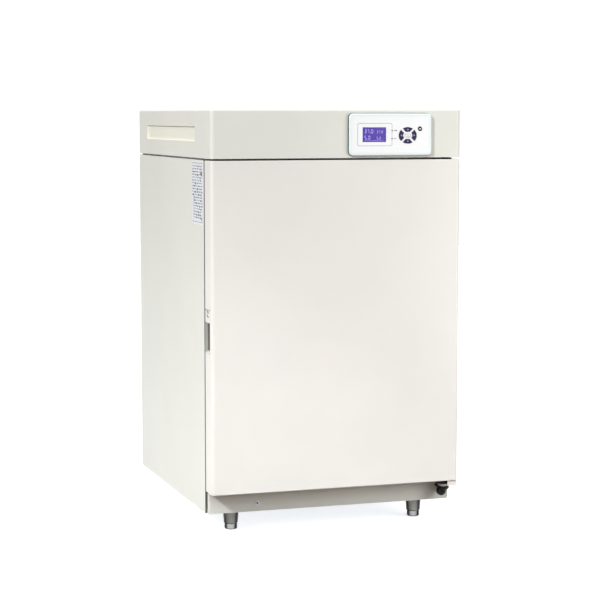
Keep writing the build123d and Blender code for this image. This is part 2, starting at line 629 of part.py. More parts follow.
# Keys stand 1 mm proud of the bezel and reach back almost to the board's switches
KEY_BACK = Y_FRONT + 2.0
KEY_FRONT = Y_BEZEL - 1.0

for key_name, turn in KEY_TURNS.items():
    with BuildPart() as ring_piece:
        with BuildSketch(front(KEY_BACK)):
            ring_key(turn, 0)
        extrude(amount=KEY_BACK - KEY_FRONT)
        chamfer(ring_piece.faces().sort_by(Axis.Y)[0].edges(), 0.4)
    save(ring_piece, key_name)

with BuildPart() as key_ok:
    with BuildSketch(front(KEY_BACK)):
        with Locations((KEY_X, KEY_Z)):
            Ellipse(*OK_KEY)
    extrude(amount=KEY_BACK - KEY_FRONT)
    fillet(key_ok.faces().sort_by(Axis.Y)[0].edges(), 0.6)
save(key_ok, "key_ok")

with BuildPart() as key_power:
    with BuildSketch(front(KEY_BACK)):
        with Locations(POWER_KEY):
            Circle(POWER_KEY_RADIUS)
    extrude(amount=KEY_BACK - KEY_FRONT)
    fillet(key_power.faces().sort_by(Axis.Y)[0].edges(), 0.6)
save(key_power, "key_power")

Y_BOARD = Y_FRONT + 9.0

with BuildPart() as indicator_leds:
    with BuildSketch(front(Y_BOARD)):
        with Locations(LAMPS):
            Circle(LAMP_RADIUS)
    extrude(amount=Y_BOARD - Y_BEZEL + 0.5)
    fillet(indicator_leds.faces().group_by(Axis.Y)[0].edges(), 0.7)
save(indicator_leds, "indicator_leds")

# Control board behind the panel, with a switch under each key and the larger parts behind
BOARD = (170.0, 74.0, 1.6)
SWITCH = 6.0
KEY_SPOTS = [(KEY_X, KEY_Z + 13), (KEY_X, KEY_Z - 13), (KEY_X - 16, KEY_Z), (KEY_X + 16, KEY_Z),
             (KEY_X, KEY_Z), POWER_KEY]

with BuildPart() as control_board:
    with BuildSketch(front(Y_BOARD)):
        with Locations((PANEL_X, PANEL_Z)):
            Rectangle(BOARD[0], BOARD[1])
    extrude(amount=-BOARD[2])
    with BuildSketch(front(Y_BOARD)):
        with Locations(KEY_SPOTS):
            Rectangle(SWITCH, SWITCH)
    extrude(amount=Y_BOARD - KEY_BACK - KEY_TRAVEL - BODY_CLEARANCE)
    block((50, 74), (Y_BOARD + BOARD[2], Y_BOARD + 5.6), (PANEL_Z - 12, PANEL_Z + 12))
    block((90, 130), (Y_BOARD + BOARD[2], Y_BOARD + 10), (PANEL_Z + 16, PANEL_Z + 26))
    with BuildSketch(front(Y_BOARD + BOARD[2])):
        with Locations((150, PANEL_Z - 18), (172, PANEL_Z - 18)):
            Circle(6)
    extrude(amount=-14)
save(control_board, "control_board")

# ================================================================ gas and power parts
DECK_FLOOR = Z_CABINET_TOP + SHEET
SUPPLY_AT = (-150.0, 90.0)
SUPPLY = (160.0, 100.0, 40.0)

with BuildPart() as power_supply:
    low = (SUPPLY_AT[0] - SUPPLY[0] / 2, SUPPLY_AT[1] - SUPPLY[1] / 2)
    high = (low[0] + SUPPLY[0], low[1] + SUPPLY[1])
    block((low[0], high[0]), (low[1], high[1]), (DECK_FLOOR, DECK_FLOOR + SUPPLY[2]))
    with BuildSketch(Plane.XY.offset(DECK_FLOOR + SUPPLY[2] - 2)):
        with Locations(SUPPLY_AT):
            with GridLocations(18, 14, 7, 5):
                SlotOverall(12, 5)
    extrude(amount=4, mode=Mode.SUBTRACT)
    block((low[0] + 4, high[0] - 4), (low[1] + 4, high[1] - 4),
          (DECK_FLOOR + WALL, DECK_FLOOR + SUPPLY[2] - 1.5), Mode.SUBTRACT)
save(power_supply, "power_supply")

VALVE_Y = Y_REAR - 70.0
VALVE_BOTTOM = GAS[1] - 26.0
SPIGOT = 3.0             # outside radius of the hose spigots

with BuildPart() as co2_valve:
    block((GAS[0] - 15, GAS[0] + 15), (VALVE_Y - 18, VALVE_Y + 18), (GAS[1] - 14, GAS[1] + 10))
    with Locations((GAS[0], VALVE_Y, GAS[1] + 20)):
        Box(28, 24, 20)
    with BuildSketch(Plane.XY.offset(GAS[1] - 14)):
        with Locations((GAS[0], VALVE_Y)):
            Circle(SPIGOT)
    extrude(amount=-12)
    with BuildSketch(front(VALVE_Y + 18)):
        with Locations(GAS):
            Circle(SPIGOT)
    extrude(amount=-12)
save(co2_valve, "co2_valve")

# Bulkhead inlet: hexagon against the panel, a spigot inside and a plain nose for the supply hose
NOSE_RADIUS = 4.0
NOSE_LENGTH = 9.0
Y_NOSE = TOTAL_DEPTH / 2

with BuildPart() as co2_inlet:
    with BuildSketch(front(Y_HOOD_REAR)):
        with Locations(GAS):
            RegularPolygon(9, 6)
    extrude(amount=-6)
    with BuildSketch(front(Y_HOOD_REAR - 22)):
        with Locations(GAS):
            Circle(SPIGOT)
    extrude(amount=-22)
    with BuildSketch(front(Y_HOOD_REAR - 6)):
        with Locations(GAS):
            Circle(5.9)
    extrude(amount=-6)
    with BuildSketch(front(Y_HOOD_REAR + 6)):
        with Locations(GAS):
            Circle(5)
    extrude(amount=-(Y_NOSE - NOSE_LENGTH - Y_HOOD_REAR - 6))
    chamfer(co2_inlet.faces().sort_by(Axis.Y)[-1].edges(), 0.8)
    with BuildSketch(front(Y_NOSE - NOSE_LENGTH)):
        with Locations(GAS):
            Circle(NOSE_RADIUS)
    extrude(amount=-NOSE_LENGTH)
    with BuildSketch(front(Y_NOSE + 1)):
        with Locations(GAS):
            Circle(1.5)
    extrude(amount=30, mode=Mode.SUBTRACT)
save(co2_inlet, "co2_inlet")


def hose(points, radii):
    """A hose along straight runs joined by arcs, over the spigots at its two ends."""
    with BuildPart() as tube:
        with BuildLine() as route:
            if radii:
                FilletPolyline(*points, radius=radii)
            else:
                Line(*points)
        start = Plane(origin=route.line @ 0, z_dir=route.line % 0)
        with BuildSketch(start):
            Circle(HOSE)
            Circle(SPIGOT, mode=Mode.SUBTRACT)
        sweep()
    return tube


supply_hose = hose([(GAS[0], VALVE_Y + 20, GAS[1]), (GAS[0], Y_HOOD_REAR - 12, GAS[1])], None)
chamber_hose = hose([(GAS[0], VALVE_Y, VALVE_BOTTOM + 8), (GAS[0], VALVE_Y, CO2_PORT[1]),
                     (GAS[0], Y_CHAMBER_END, CO2_PORT[1])], 10)
with BuildPart() as co2_hose:
    add(supply_hose.part)
    add(chamber_hose.part)
save(co2_hose, "co2_hose")

# Mains module: one moulding with the inlet socket, its three blades and the rocker's window
ROCKER_X = MAINS[0] - 20.0
SOCKET_X = MAINS[0] + 12.0
ROCKER_RADIUS = 10.6
ROCKER_WIDTH = 13.4
PIVOT_DEPTH = 4.0
MODULE_RIM = 3.0         # thickness of the flange outside the hood's rear panel
SOCKET = (26.0, 18.0)
BLADES = ((-7, -2), (0, 3), (7, -2))     # from the socket's middle

with BuildPart() as power_entry_module:
    with BuildSketch(front(Y_HOOD_REAR)):
        with Locations(MAINS):
            RectangleRounded(*MODULE, 4)
    extrude(amount=-MODULE_RIM)
    with BuildSketch(front(Y_HOOD_REAR)):
        with Locations(MAINS):
            Rectangle(MODULE[0] - 7, MODULE[1] - 7)
    extrude(amount=30)
    with BuildSketch(front(Y_HOOD_REAR + 4)):
        with Locations((SOCKET_X, MAINS[1])):
            RectangleRounded(*SOCKET, 4)
    extrude(amount=22, mode=Mode.SUBTRACT)
    with BuildSketch(front(Y_HOOD_REAR - 6)):
        with Locations([(SOCKET_X + across, MAINS[1] + up) for across, up in BLADES]):
            Rectangle(2, 6)
    extrude(amount=13)
    with BuildSketch(Plane.YZ.offset(ROCKER_X - ROCKER_WIDTH / 2 - 0.3)):
        with Locations((Y_HOOD_REAR + MODULE_RIM - PIVOT_DEPTH, MAINS[1])):
            Circle(ROCKER_RADIUS + 0.4)
    extrude(amount=ROCKER_WIDTH + 0.6, mode=Mode.SUBTRACT)
save(power_entry_module, "power_entry_module")

# Rocker: a disc segment with a shallow V front, tilted to its off position
ROCKER_TILT = 8.0
rocker_axis = (Y_HOOD_REAR + MODULE_RIM - PIVOT_DEPTH, MAINS[1])

with BuildPart() as mains_switch_rocker:
    with BuildSketch(Plane.YZ.offset(ROCKER_X - ROCKER_WIDTH / 2)):
        with Locations(rocker_axis):
            Circle(ROCKER_RADIUS)
            Polygon((-12, -12), (7.5, -12), (6.6, -9), (4.2, 0), (6.6, 9), (7.5, 12), (-12, 12),
                    rotation=ROCKER_TILT, mode=Mode.INTERSECT)
    extrude(amount=ROCKER_WIDTH)
save(mains_switch_rocker, "mains_switch_rocker")

# ================================================================ outer door
GRIP_Z = (Z_BASE + 367.0, Z_BASE + 466.0)
GRIP_Y = (Y_BODY - 50.5, Y_DOOR_REAR)
GRIP_DEPTH = 27.0
LINER_HALF = HALF - SHEET - 0.2
PAN_HALF = 226.0         # pressed panel in the liner, behind the glass door's latch
PAN_DEPTH = 6.0
LIP_DROP = 12.0          # lip under the door's hinge corner, in front of the hinge
LIP_Y = (Y_FRONT + 3.5, Y_FRONT + 5.5)
door_mid = (Z_DOOR_BOTTOM + Z_DOOR_TOP) / 2
door_height = Z_DOOR_TOP - Z_DOOR_BOTTOM


def door_plan(inset):
    """The door's plan outline, pulled in by inset, running on past the rear when hollowed."""
    depth = DOOR_THICKNESS + (1 if inset else 0)
    with Locations((0, Y_FRONT + inset + depth / 2)):
        Rectangle(WIDTH - 2 * inset, depth)


with BuildPart() as door_outer_skin:
    with BuildSketch(Plane.XY.offset(Z_DOOR_BOTTOM)) as outside:
        door_plan(0)
        fillet(outside.vertices().group_by(Axis.Y)[0], EDGE_RADIUS)
    extrude(amount=door_height)
    fillet(door_outer_skin.faces().filter_by(Plane.XY).edges().filter_by(
        lambda edge: edge.center().Y < Y_DOOR_REAR - 1 and abs(edge.center().X) < HALF - 1), 1.5)
    with BuildSketch(Plane.XY.offset(Z_DOOR_BOTTOM + SHEET)) as inside:
        door_plan(SHEET)
        fillet(inside.vertices().group_by(Axis.Y)[0], EDGE_RADIUS - SHEET)
    extrude(amount=door_height - 2 * SHEET, mode=Mode.SUBTRACT)
    block((-HALF - 1, -HALF + SHEET + 1), (GRIP_Y[0], GRIP_Y[1] + 1), GRIP_Z, Mode.SUBTRACT)
    with Locations((PIVOT_X, PIVOT_Y, Z_DOOR_TOP), (PIVOT_X, PIVOT_Y, Z_DOOR_BOTTOM)):
        Cylinder(PIN_RADIUS + SHAFT_FIT, 8, mode=Mode.SUBTRACT)
    block((PIVOT_X + 1, HALF - 2), LIP_Y, (Z_DOOR_BOTTOM - LIP_DROP, Z_DOOR_BOTTOM + 0.5))
save(door_outer_skin, "door_outer_skin")

with BuildPart() as door_inner_liner:
    with BuildSketch(front(Y_DOOR_REAR - SHEET)):
        with Locations((0, door_mid)):
            Rectangle(2 * LINER_HALF, door_height - 2 * SHEET - 0.4)
        with Locations((0, Z_CHAMBER_MID)):
            RectangleRounded(2 * PAN_HALF, RECESS_HEIGHT - 20, 20, mode=Mode.SUBTRACT)
    extrude(amount=-SHEET)
    with BuildSketch(front(Y_DOOR_REAR - SHEET - PAN_DEPTH)):
        with Locations((0, Z_CHAMBER_MID)):
            ring(2 * PAN_HALF + 2 * SHEET, RECESS_HEIGHT - 20 + 2 * SHEET, 20 + SHEET, SHEET)
    extrude(amount=-(PAN_DEPTH + SHEET))
    with BuildSketch(front(Y_DOOR_REAR - SHEET - PAN_DEPTH)):
        with Locations((0, Z_CHAMBER_MID)):
            RectangleRounded(2 * PAN_HALF + 2 * SHEET, RECESS_HEIGHT - 20 + 2 * SHEET, 20 + SHEET)
    extrude(amount=-SHEET)
    block((-HALF, -HALF + GRIP_DEPTH + 1), (GRIP_Y[0], GRIP_Y[1] + 1),
          (GRIP_Z[0] - 0.2, GRIP_Z[1] + 0.2), Mode.SUBTRACT)
save(door_inner_liner, "door_inner_liner")

with BuildPart() as door_insulation:
    foam_half = HALF - SHEET - 1
    foam_z = (Z_DOOR_BOTTOM + SHEET + 1, Z_DOOR_TOP - SHEET - 1)
    block((-foam_half, foam_half), (Y_FRONT + SHEET + 1, Y_DOOR_REAR - SHEET - 0.2), foam_z)
    chamfer(door_insulation.edges().filter_by(Axis.Z).group_by(Axis.Y)[0], 5)
    block((-PAN_HALF - 3, PAN_HALF + 3), (Y_DOOR_REAR - SHEET - PAN_DEPTH - 0.2, Y_DOOR_REAR),
          (Z_CHAMBER_MID - RECESS_HEIGHT / 2 + 7, Z_CHAMBER_MID + RECESS_HEIGHT / 2 - 7), Mode.SUBTRACT)
    block((-HALF, -HALF + GRIP_DEPTH + 2), (GRIP_Y[0] - 2, Y_DOOR_REAR), (GRIP_Z[0] - 2, GRIP_Z[1] + 2),
          Mode.SUBTRACT)
    with Locations((PIVOT_X, PIVOT_Y, Z_DOOR_TOP), (PIVOT_X, PIVOT_Y, Z_DOOR_BOTTOM)):
        Cylinder(PIN_RADIUS + 1.5, 60, mode=Mode.SUBTRACT)
save(door_insulation, "door_insulation")

# Gasket: a wide foot clipped to the liner and a softer bulb that meets the front frame
GASKET_WIDTH = 26.0
gasket_half = PIVOT_X + 3
gasket_z = (Z_DOOR_BOTTOM + 18, Z_DOOR_TOP - 18)
bulb_depth = DOOR_GAP - BODY_CLEARANCE

with BuildPart() as door_gasket:
    with BuildSketch(front(Y_DOOR_REAR)):
        with Locations((0, (gasket_z[0] + gasket_z[1]) / 2)):
            ring(2 * gasket_half, gasket_z[1] - gasket_z[0], 12, GASKET_WIDTH)
    extrude(amount=-3)
    with BuildSketch(front(Y_DOOR_REAR + 3)):
        with Locations((0, (gasket_z[0] + gasket_z[1]) / 2)):
            ring(2 * gasket_half - 8, gasket_z[1] - gasket_z[0] - 8, 10, GASKET_WIDTH - 8)
    extrude(amount=-(bulb_depth - 3))
    fillet(door_gasket.faces().sort_by(Axis.Y)[-1].edges(), 3)
save(door_gasket, "door_gasket")

# Finger grip: a plastic cup let into the door's left edge
with BuildPart() as door_grip:
    cup_z = (GRIP_Z[0] + 0.1, GRIP_Z[1] - 0.1)
    block((-HALF, -HALF + GRIP_DEPTH), (GRIP_Y[0] + 0.1, GRIP_Y[1]), cup_z)
    block((-HALF - 1, -HALF + GRIP_DEPTH - 2), (GRIP_Y[0] + 2.5, GRIP_Y[1] - 2),
          (cup_z[0] + 4, cup_z[1] - 4), Mode.SUBTRACT)
    fillet(door_grip.edges().filter_by(Axis.Y).group_by(Axis.X)[-2], 12)
    mouth = door_grip.faces().sort_by(Axis.X)[0].inner_wires()[0]
    chamfer(mouth.edges().filter_by(Axis.Y), 3)
save(door_grip, "door_grip")

# ================================================================ door hinges
WASHER_Z = Z_DOOR_BOTTOM - 15.0
WASHER = (12.5, 5.0)     # radius and thickness
LEAF_X = (PIVOT_X - 27.0, PIVOT_X + 6.5)
LEAF_HALF = 12.0         # half the leaf's depth, front to rear
LEAF_Z = (WASHER_Z + WASHER[1] + BODY_CLEARANCE, Z_DOOR_BOTTOM)

# Leaf: a black bar screwed under the door, thinning towards its free end
with BuildPart() as door_hinge_leaf:
    with BuildSketch(front(PIVOT_Y - LEAF_HALF)):
        with BuildLine():
            Polyline((LEAF_X[0], LEAF_Z[1]), (LEAF_X[1], LEAF_Z[1]), (LEAF_X[1], LEAF_Z[0]),
                     (PIVOT_X - WASHER[0], LEAF_Z[0]), (LEAF_X[0], LEAF_Z[1] - 3), close=True)
        make_face()
    extrude(amount=-2 * LEAF_HALF)
    fillet(door_hinge_leaf.edges().filter_by(Axis.Z), 4)
    with Locations((PIVOT_X, PIVOT_Y, Z_DOOR_BOTTOM)):
        Cylinder(PIN_RADIUS + SHAFT_FIT, 60, mode=Mode.SUBTRACT)
save(door_hinge_leaf, "door_hinge_leaf")

with BuildPart() as hinge_washer:
    with BuildSketch(Plane.XY.offset(WASHER_Z)):
        with Locations((PIVOT_X, PIVOT_Y)):
            Circle(WASHER[0])
            Circle(PIN_RADIUS, mode=Mode.SUBTRACT)
    extrude(amount=WASHER[1])
save(hinge_washer, "hinge_washer")

# Lower bracket: an arm that reaches forward through the kick plate's notch to a round seat for the
# washer, with a heavy ball under the seat, a leg on the front frame and the hinge pin
SEAT_DEPTH = 6.0
BALL_RADIUS = 11.6
BALL_X = PIVOT_X - 6.5
LOWER_PIN = 38.0

with BuildPart() as lower_hinge_bracket:
    block((PIVOT_X - SEAT_RADIUS, PIVOT_X + SEAT_RADIUS), (PIVOT_Y, Y_BODY), (WASHER_Z - 4, WASHER_Z))
    block((PIVOT_X - 3, PIVOT_X + 9), (Y_BODY - ARM, Y_BODY), (FRAME_BOTTOM + 1, WASHER_Z))
    with Locations((PIVOT_X, PIVOT_Y, WASHER_Z - SEAT_DEPTH / 2)):
        Cylinder(SEAT_RADIUS, SEAT_DEPTH)
    with Locations((PIVOT_X, PIVOT_Y, WASHER_Z - SEAT_DEPTH - 3)):
        Cone(SEAT_RADIUS - 6, SEAT_RADIUS, 6)
    with Locations((BALL_X, PIVOT_Y, WASHER_Z - BALL_RADIUS - 0.5)):
        Sphere(BALL_RADIUS)
    with BuildSketch(Plane.XY.offset(WASHER_Z - SEAT_DEPTH)):
        with Locations((PIVOT_X, PIVOT_Y)):
            Circle(PIN_RADIUS)
    extrude(amount=SEAT_DEPTH + LOWER_PIN)
    chamfer(lower_hinge_bracket.faces().sort_by(Axis.Z)[-1].edges(), 1)
save(lower_hinge_bracket, "lower_hinge_bracket")

# Upper bracket: a thin arm lying in the seam under the hood, turned up in front of the top deck
UPPER_PIN = 24.0
UPPER_LEG = 18.0

with BuildPart() as upper_hinge_bracket:
    with BuildSketch(Plane.XY.offset(Z_CABINET_TOP)):
        with Locations((PIVOT_X, PIVOT_Y)):
            Circle(UPPER_ARM)
        with Locations((PIVOT_X, (PIVOT_Y + Y_BODY) / 2)):
            Rectangle(2 * UPPER_ARM, Y_BODY - PIVOT_Y)
    extrude(amount=ARM)
    block((PIVOT_X - UPPER_ARM, PIVOT_X + UPPER_ARM), (Y_BODY - ARM, Y_BODY),
          (Z_CABINET_TOP, Z_CABINET_TOP + UPPER_LEG))
    with BuildSketch(Plane.XY.offset(Z_CABINET_TOP)):
        with Locations((PIVOT_X, PIVOT_Y)):
            Circle(PIN_RADIUS)
    extrude(amount=-UPPER_PIN)
    chamfer(upper_hinge_bracket.faces().sort_by(Axis.Z)[0].edges(), 1)
save(upper_hinge_bracket, "upper_hinge_bracket")

# ================================================================ inner glass door
GLASS = 5.0
GLASS_OUT = 18.0         # how far the pane reaches out past the chamber mouth
GLASS_RIGHT = CHAMBER_WIDTH / 2 + GLASS_OUT
Y_GLASS_REAR = Y_MOUTH - SHEET - SEAL_THICKNESS - BODY_CLEARANCE
Y_GLASS = Y_GLASS_REAR - GLASS
GLASS_PIVOT = (GLASS_RIGHT + 6.5, Y_GLASS - 1.5)
GLASS_PIN = 2.4
GLASS_KNUCKLE = 4.5
GLASS_HINGE_Z = (Z_CHAMBER_MID - 190.0, Z_CHAMBER_MID + 190.0)
KNUCKLE_HALF = 16.0
LATCH = (-GLASS_RIGHT + 14.0, Z_CHAMBER_MID)
LATCH_SPINDLE = 4.0

with BuildPart() as glass_pane:
    with BuildSketch(front(Y_GLASS)):
        with Locations((0, Z_CHAMBER_MID)):
            RectangleRounded(2 * GLASS_RIGHT, CHAMBER_HEIGHT + 2 * GLASS_OUT, 12)
        with Locations(LATCH):
            Circle(LATCH_SPINDLE + SHAFT_FIT, mode=Mode.SUBTRACT)
    extrude(amount=-GLASS)
    chamfer(glass_pane.faces().sort_by(Axis.Y)[0].edges(), 0.6)
save(glass_pane, "glass_pane")

# Glass-side hinge halves: a plate on the pane's face that rolls into a knuckle
with BuildPart() as glass_hinges:
    for z in GLASS_HINGE_Z:
        block((GLASS_RIGHT - 32, GLASS_PIVOT[0] - 2), (Y_GLASS - 3, Y_GLASS),
              (z - KNUCKLE_HALF, z + KNUCKLE_HALF))
        with Locations((GLASS_PIVOT[0], GLASS_PIVOT[1], z)):
            Cylinder(GLASS_KNUCKLE, 2 * KNUCKLE_HALF)
            Cylinder(GLASS_PIN + SHAFT_FIT, 2 * KNUCKLE_HALF + 2, mode=Mode.SUBTRACT)
        with BuildSketch(front(Y_GLASS - 3)):
            with Locations((GLASS_RIGHT - 22, z - 9), (GLASS_RIGHT - 22, z + 9)):
                Circle(3.2)
        extrude(amount=1.6)
save(glass_hinges, "glass_hinges")

# Turn latch: spindle through the pane, a tongue that stands up when released, and a finger knob
TONGUE = (Y_GLASS - 3.0, Y_GLASS - 0.4)
TONGUE_REACH = 26.0
with BuildPart() as glass_latch:
    block((LATCH[0] - 6, LATCH[0] + 6), TONGUE, (LATCH[1], LATCH[1] + TONGUE_REACH))
    fillet(glass_latch.edges().filter_by(Axis.Y).group_by(Axis.Z)[-1], 4)
    with BuildSketch(front(Y_GLASS - 0.4)):
        with Locations(LATCH):
            Circle(9)
    extrude(amount=2.6)
    with BuildSketch(front(TONGUE[0])):
        with Locations(LATCH):
            Circle(11)
            Rectangle(7, 30)
    extrude(amount=11)
    fillet(glass_latch.faces().sort_by(Axis.Y)[0].edges(), 2)
    with BuildSketch(front(Y_GLASS_REAR - 0.2)):
        with Locations(LATCH):
            Circle(LATCH_SPINDLE)
    extrude(amount=GLASS + 1)
save(glass_latch, "glass_latch")

# Fittings riveted to the recess walls: for each glass hinge a plate with two ears and the pin
# between them, and on the left the latch's keeper, whose lip holds the turned tongue
recess_wall = RECESS_WIDTH / 2
EAR = 8.0
EAR_GAP = KNUCKLE_HALF + BODY_CLEARANCE
KEEPER_Y = (TONGUE[0] - 2.8, TONGUE[0] - 0.5)

with BuildPart() as glass_door_fittings:
    for z in GLASS_HINGE_Z:
        block((recess_wall - 2.5, recess_wall), (Y_GLASS - 7, Y_GLASS + 4),
              (z - EAR_GAP - EAR, z + EAR_GAP + EAR))
        for low in (z - EAR_GAP - EAR, z + EAR_GAP):
            block((GLASS_PIVOT[0] - 4, recess_wall), (GLASS_PIVOT[1] - 4, GLASS_PIVOT[1] + 4),
                  (low, low + EAR))
        with Locations((GLASS_PIVOT[0], GLASS_PIVOT[1], z)):
            Cylinder(GLASS_PIN, 2 * EAR_GAP)
    block((-recess_wall, -recess_wall + SHEET), (KEEPER_Y[0], Y_GLASS_REAR),
          (LATCH[1] - 15, LATCH[1] + 15))
    block((-recess_wall, -GLASS_RIGHT - 4), KEEPER_Y, (LATCH[1] - 11, LATCH[1] + 11))
save(glass_door_fittings, "glass_door_fittings")

# ================================================================ feet
FOOT_STOP = 13.7         # height of the screwed glide under its housing
STUD_RADIUS = 5.0
HOUSING_TOP = 18.5
HOUSING_BOTTOM = 16.0
FOOT_PLACES = [(side * FOOT_X, y) for side in (-1, 1) for y in FOOT_ROWS.values()]

with BuildPart() as foot_housings:
    housing_height = Z_BASE - FOOT_STOP - BODY_CLEARANCE
    with Locations([(x, y, Z_BASE - housing_height / 2) for x, y in FOOT_PLACES]):
        Cone(HOUSING_BOTTOM, HOUSING_TOP, housing_height)
        Cylinder(STUD_RADIUS + SHAFT_FIT, housing_height + 2, mode=Mode.SUBTRACT)
    chamfer(foot_housings.faces().filter_by(Plane.XY).group_by(Axis.Z)[0].edges().group_by(
        SortBy.LENGTH)[-1], 1)
save(foot_housings, "foot_housings")


def foot(x, y):
    """A levelling foot: a chamfered steel glide with the stud that screws up into its housing."""
    with BuildPart() as glide:
        with Locations((x, y, FOOT_STOP / 2)):
            Cylinder(14.5, FOOT_STOP)
        chamfer(glide.faces().sort_by(Axis.Z)[0].edges(), 2)
        fillet(glide.faces().sort_by(Axis.Z)[-1].edges(), 1)
        with Locations((x, y, FOOT_STOP + 22)):
            Cylinder(STUD_RADIUS, 44.2)
    return glide


for row, y in FOOT_ROWS.items():
    for side, hand in ((-1, "left"), (1, "right")):
        save(foot(side * FOOT_X, y), f"foot_{row}_{hand}")


# ================================================================ fasteners
SCREW_HEAD = 4.0         # radius
HEAD_HEIGHT = 2.4
SHANK = 1.8              # radius
CROSS = 4.4


def screw(x, y, z, outward):
    """A cross-recessed pan-head screw whose head lies against the sheet at y; outward is -1 or 1."""
    with BuildPart() as fastener:
        with BuildSketch(front(y)):
            with Locations((x, z)):
                Circle(SCREW_HEAD)
        extrude(amount=-outward * HEAD_HEIGHT)
        rim = fastener.faces().sort_by(Axis.Y)[-1 if outward > 0 else 0]
        fillet(rim.edges(), 1)
        with BuildSketch(front(y)):
            with Locations((x, z)):
                Circle(SHANK)
        extrude(amount=outward * 7)
        with BuildSketch(front(y + outward * HEAD_HEIGHT)):
            with Locations((x, z)):
                Rectangle(CROSS, 1)
                Rectangle(1, CROSS)
        extrude(amount=outward * 1.2, mode=Mode.SUBTRACT)
    return fastener


fasteners = [screw(KICK_SCREW[0], KICK_FRONT, KICK_SCREW[1], -1)]
fasteners += [screw(x, Y_REAR, z, 1) for x, z in REAR_SCREWS]
fasteners += [screw(x, Y_HOOD_REAR, z, 1) for x, z in HOOD_SCREWS]

with BuildPart() as cabinet_screws:
    for fastener in fasteners:
        add(fastener.part)
save(cabinet_screws, "cabinet_screws")
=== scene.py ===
"""A laboratory incubator: finishes, printed details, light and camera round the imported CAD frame.

Everything is in metres. +Y goes from the front of the cabinet to its rear, +X to the right, +Z up.
"""
import json
import math
import random

import bmesh
import bpy
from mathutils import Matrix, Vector


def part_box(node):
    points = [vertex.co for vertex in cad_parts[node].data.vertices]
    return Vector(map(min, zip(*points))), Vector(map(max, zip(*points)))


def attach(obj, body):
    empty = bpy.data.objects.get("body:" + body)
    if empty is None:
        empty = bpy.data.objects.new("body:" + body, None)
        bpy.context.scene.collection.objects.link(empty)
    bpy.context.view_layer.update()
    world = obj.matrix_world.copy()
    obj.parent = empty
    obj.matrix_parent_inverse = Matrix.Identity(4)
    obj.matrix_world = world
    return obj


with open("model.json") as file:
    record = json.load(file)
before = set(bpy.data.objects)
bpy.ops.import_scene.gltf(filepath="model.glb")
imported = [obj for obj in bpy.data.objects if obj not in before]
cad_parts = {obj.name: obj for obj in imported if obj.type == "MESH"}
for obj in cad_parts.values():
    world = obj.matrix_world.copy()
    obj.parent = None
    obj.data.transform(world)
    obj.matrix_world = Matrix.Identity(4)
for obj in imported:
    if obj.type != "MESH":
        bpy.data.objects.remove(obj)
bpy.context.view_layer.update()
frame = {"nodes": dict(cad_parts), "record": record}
MM = 0.001


# ---------------------------------------------------------------- colours and shader building

# A Mix node holds sockets for every kind of data: these are the places of its colour sockets.
MIX_FIRST = 6
MIX_SECOND = 7
MIX_RESULT = 2

# Noise hardly leaves this range, so spreading it over a wider one gives full contrast.
NOISE_RANGE = (0.3, 0.7)


def linear(level):
    """One sRGB level, 0 to 255, as the linear value that shaders use."""
    value = level / 255
    return value / 12.92 if value <= 0.04045 else ((value + 0.055) / 1.055) ** 2.4


def rgb(red, green, blue):
    """An sRGB colour as a linear RGBA value."""
    return (linear(red), linear(green), linear(blue), 1.0)


def shade(colour, factor):
    """The same colour, lighter or darker by a factor."""
    return tuple(min(1.0, channel * factor) for channel in colour[:3]) + (1.0,)


class Shading:
    """A tree of shader nodes, built by feeding one node's output into the next."""

    def __init__(self, tree):
        self.nodes = tree.nodes
        self.links = tree.links

    def feed(self, socket, value):
        """Sets an input to a number or a colour, or links it to another node's output."""
        if isinstance(value, bpy.types.NodeSocket):
            self.links.new(value, socket)
        else:
            socket.default_value = value

    def add(self, kind, **inputs):
        """A node of a kind, with its inputs fed by name."""
        node = self.nodes.new("ShaderNode" + kind)
        for name, value in inputs.items():
            self.feed(node.inputs[name.replace("_", " ")], value)
        return node

    def reckon(self, operation, *values):
        """One step of arithmetic on numbers or outputs."""
        node = self.nodes.new("ShaderNodeMath")
        node.operation = operation
        for socket, value in zip(node.inputs, values):
            self.feed(socket, value)
        return node.outputs["Value"]

    def span(self, value, low, high, start=0.0, end=1.0):
        """A value between start and end spread over low to high."""
        node = self.add("MapRange", Value=value, From_Min=start, From_Max=end, To_Min=low, To_Max=high)
        return node.outputs["Result"]

    def blend(self, factor, first, second):
        """Two colours mixed by a factor."""
        node = self.nodes.new("ShaderNodeMix")
        node.data_type = "RGBA"
        self.feed(node.inputs["Factor"], factor)
        self.feed(node.inputs[MIX_FIRST], first)
        self.feed(node.inputs[MIX_SECOND], second)
        return node.outputs[MIX_RESULT]


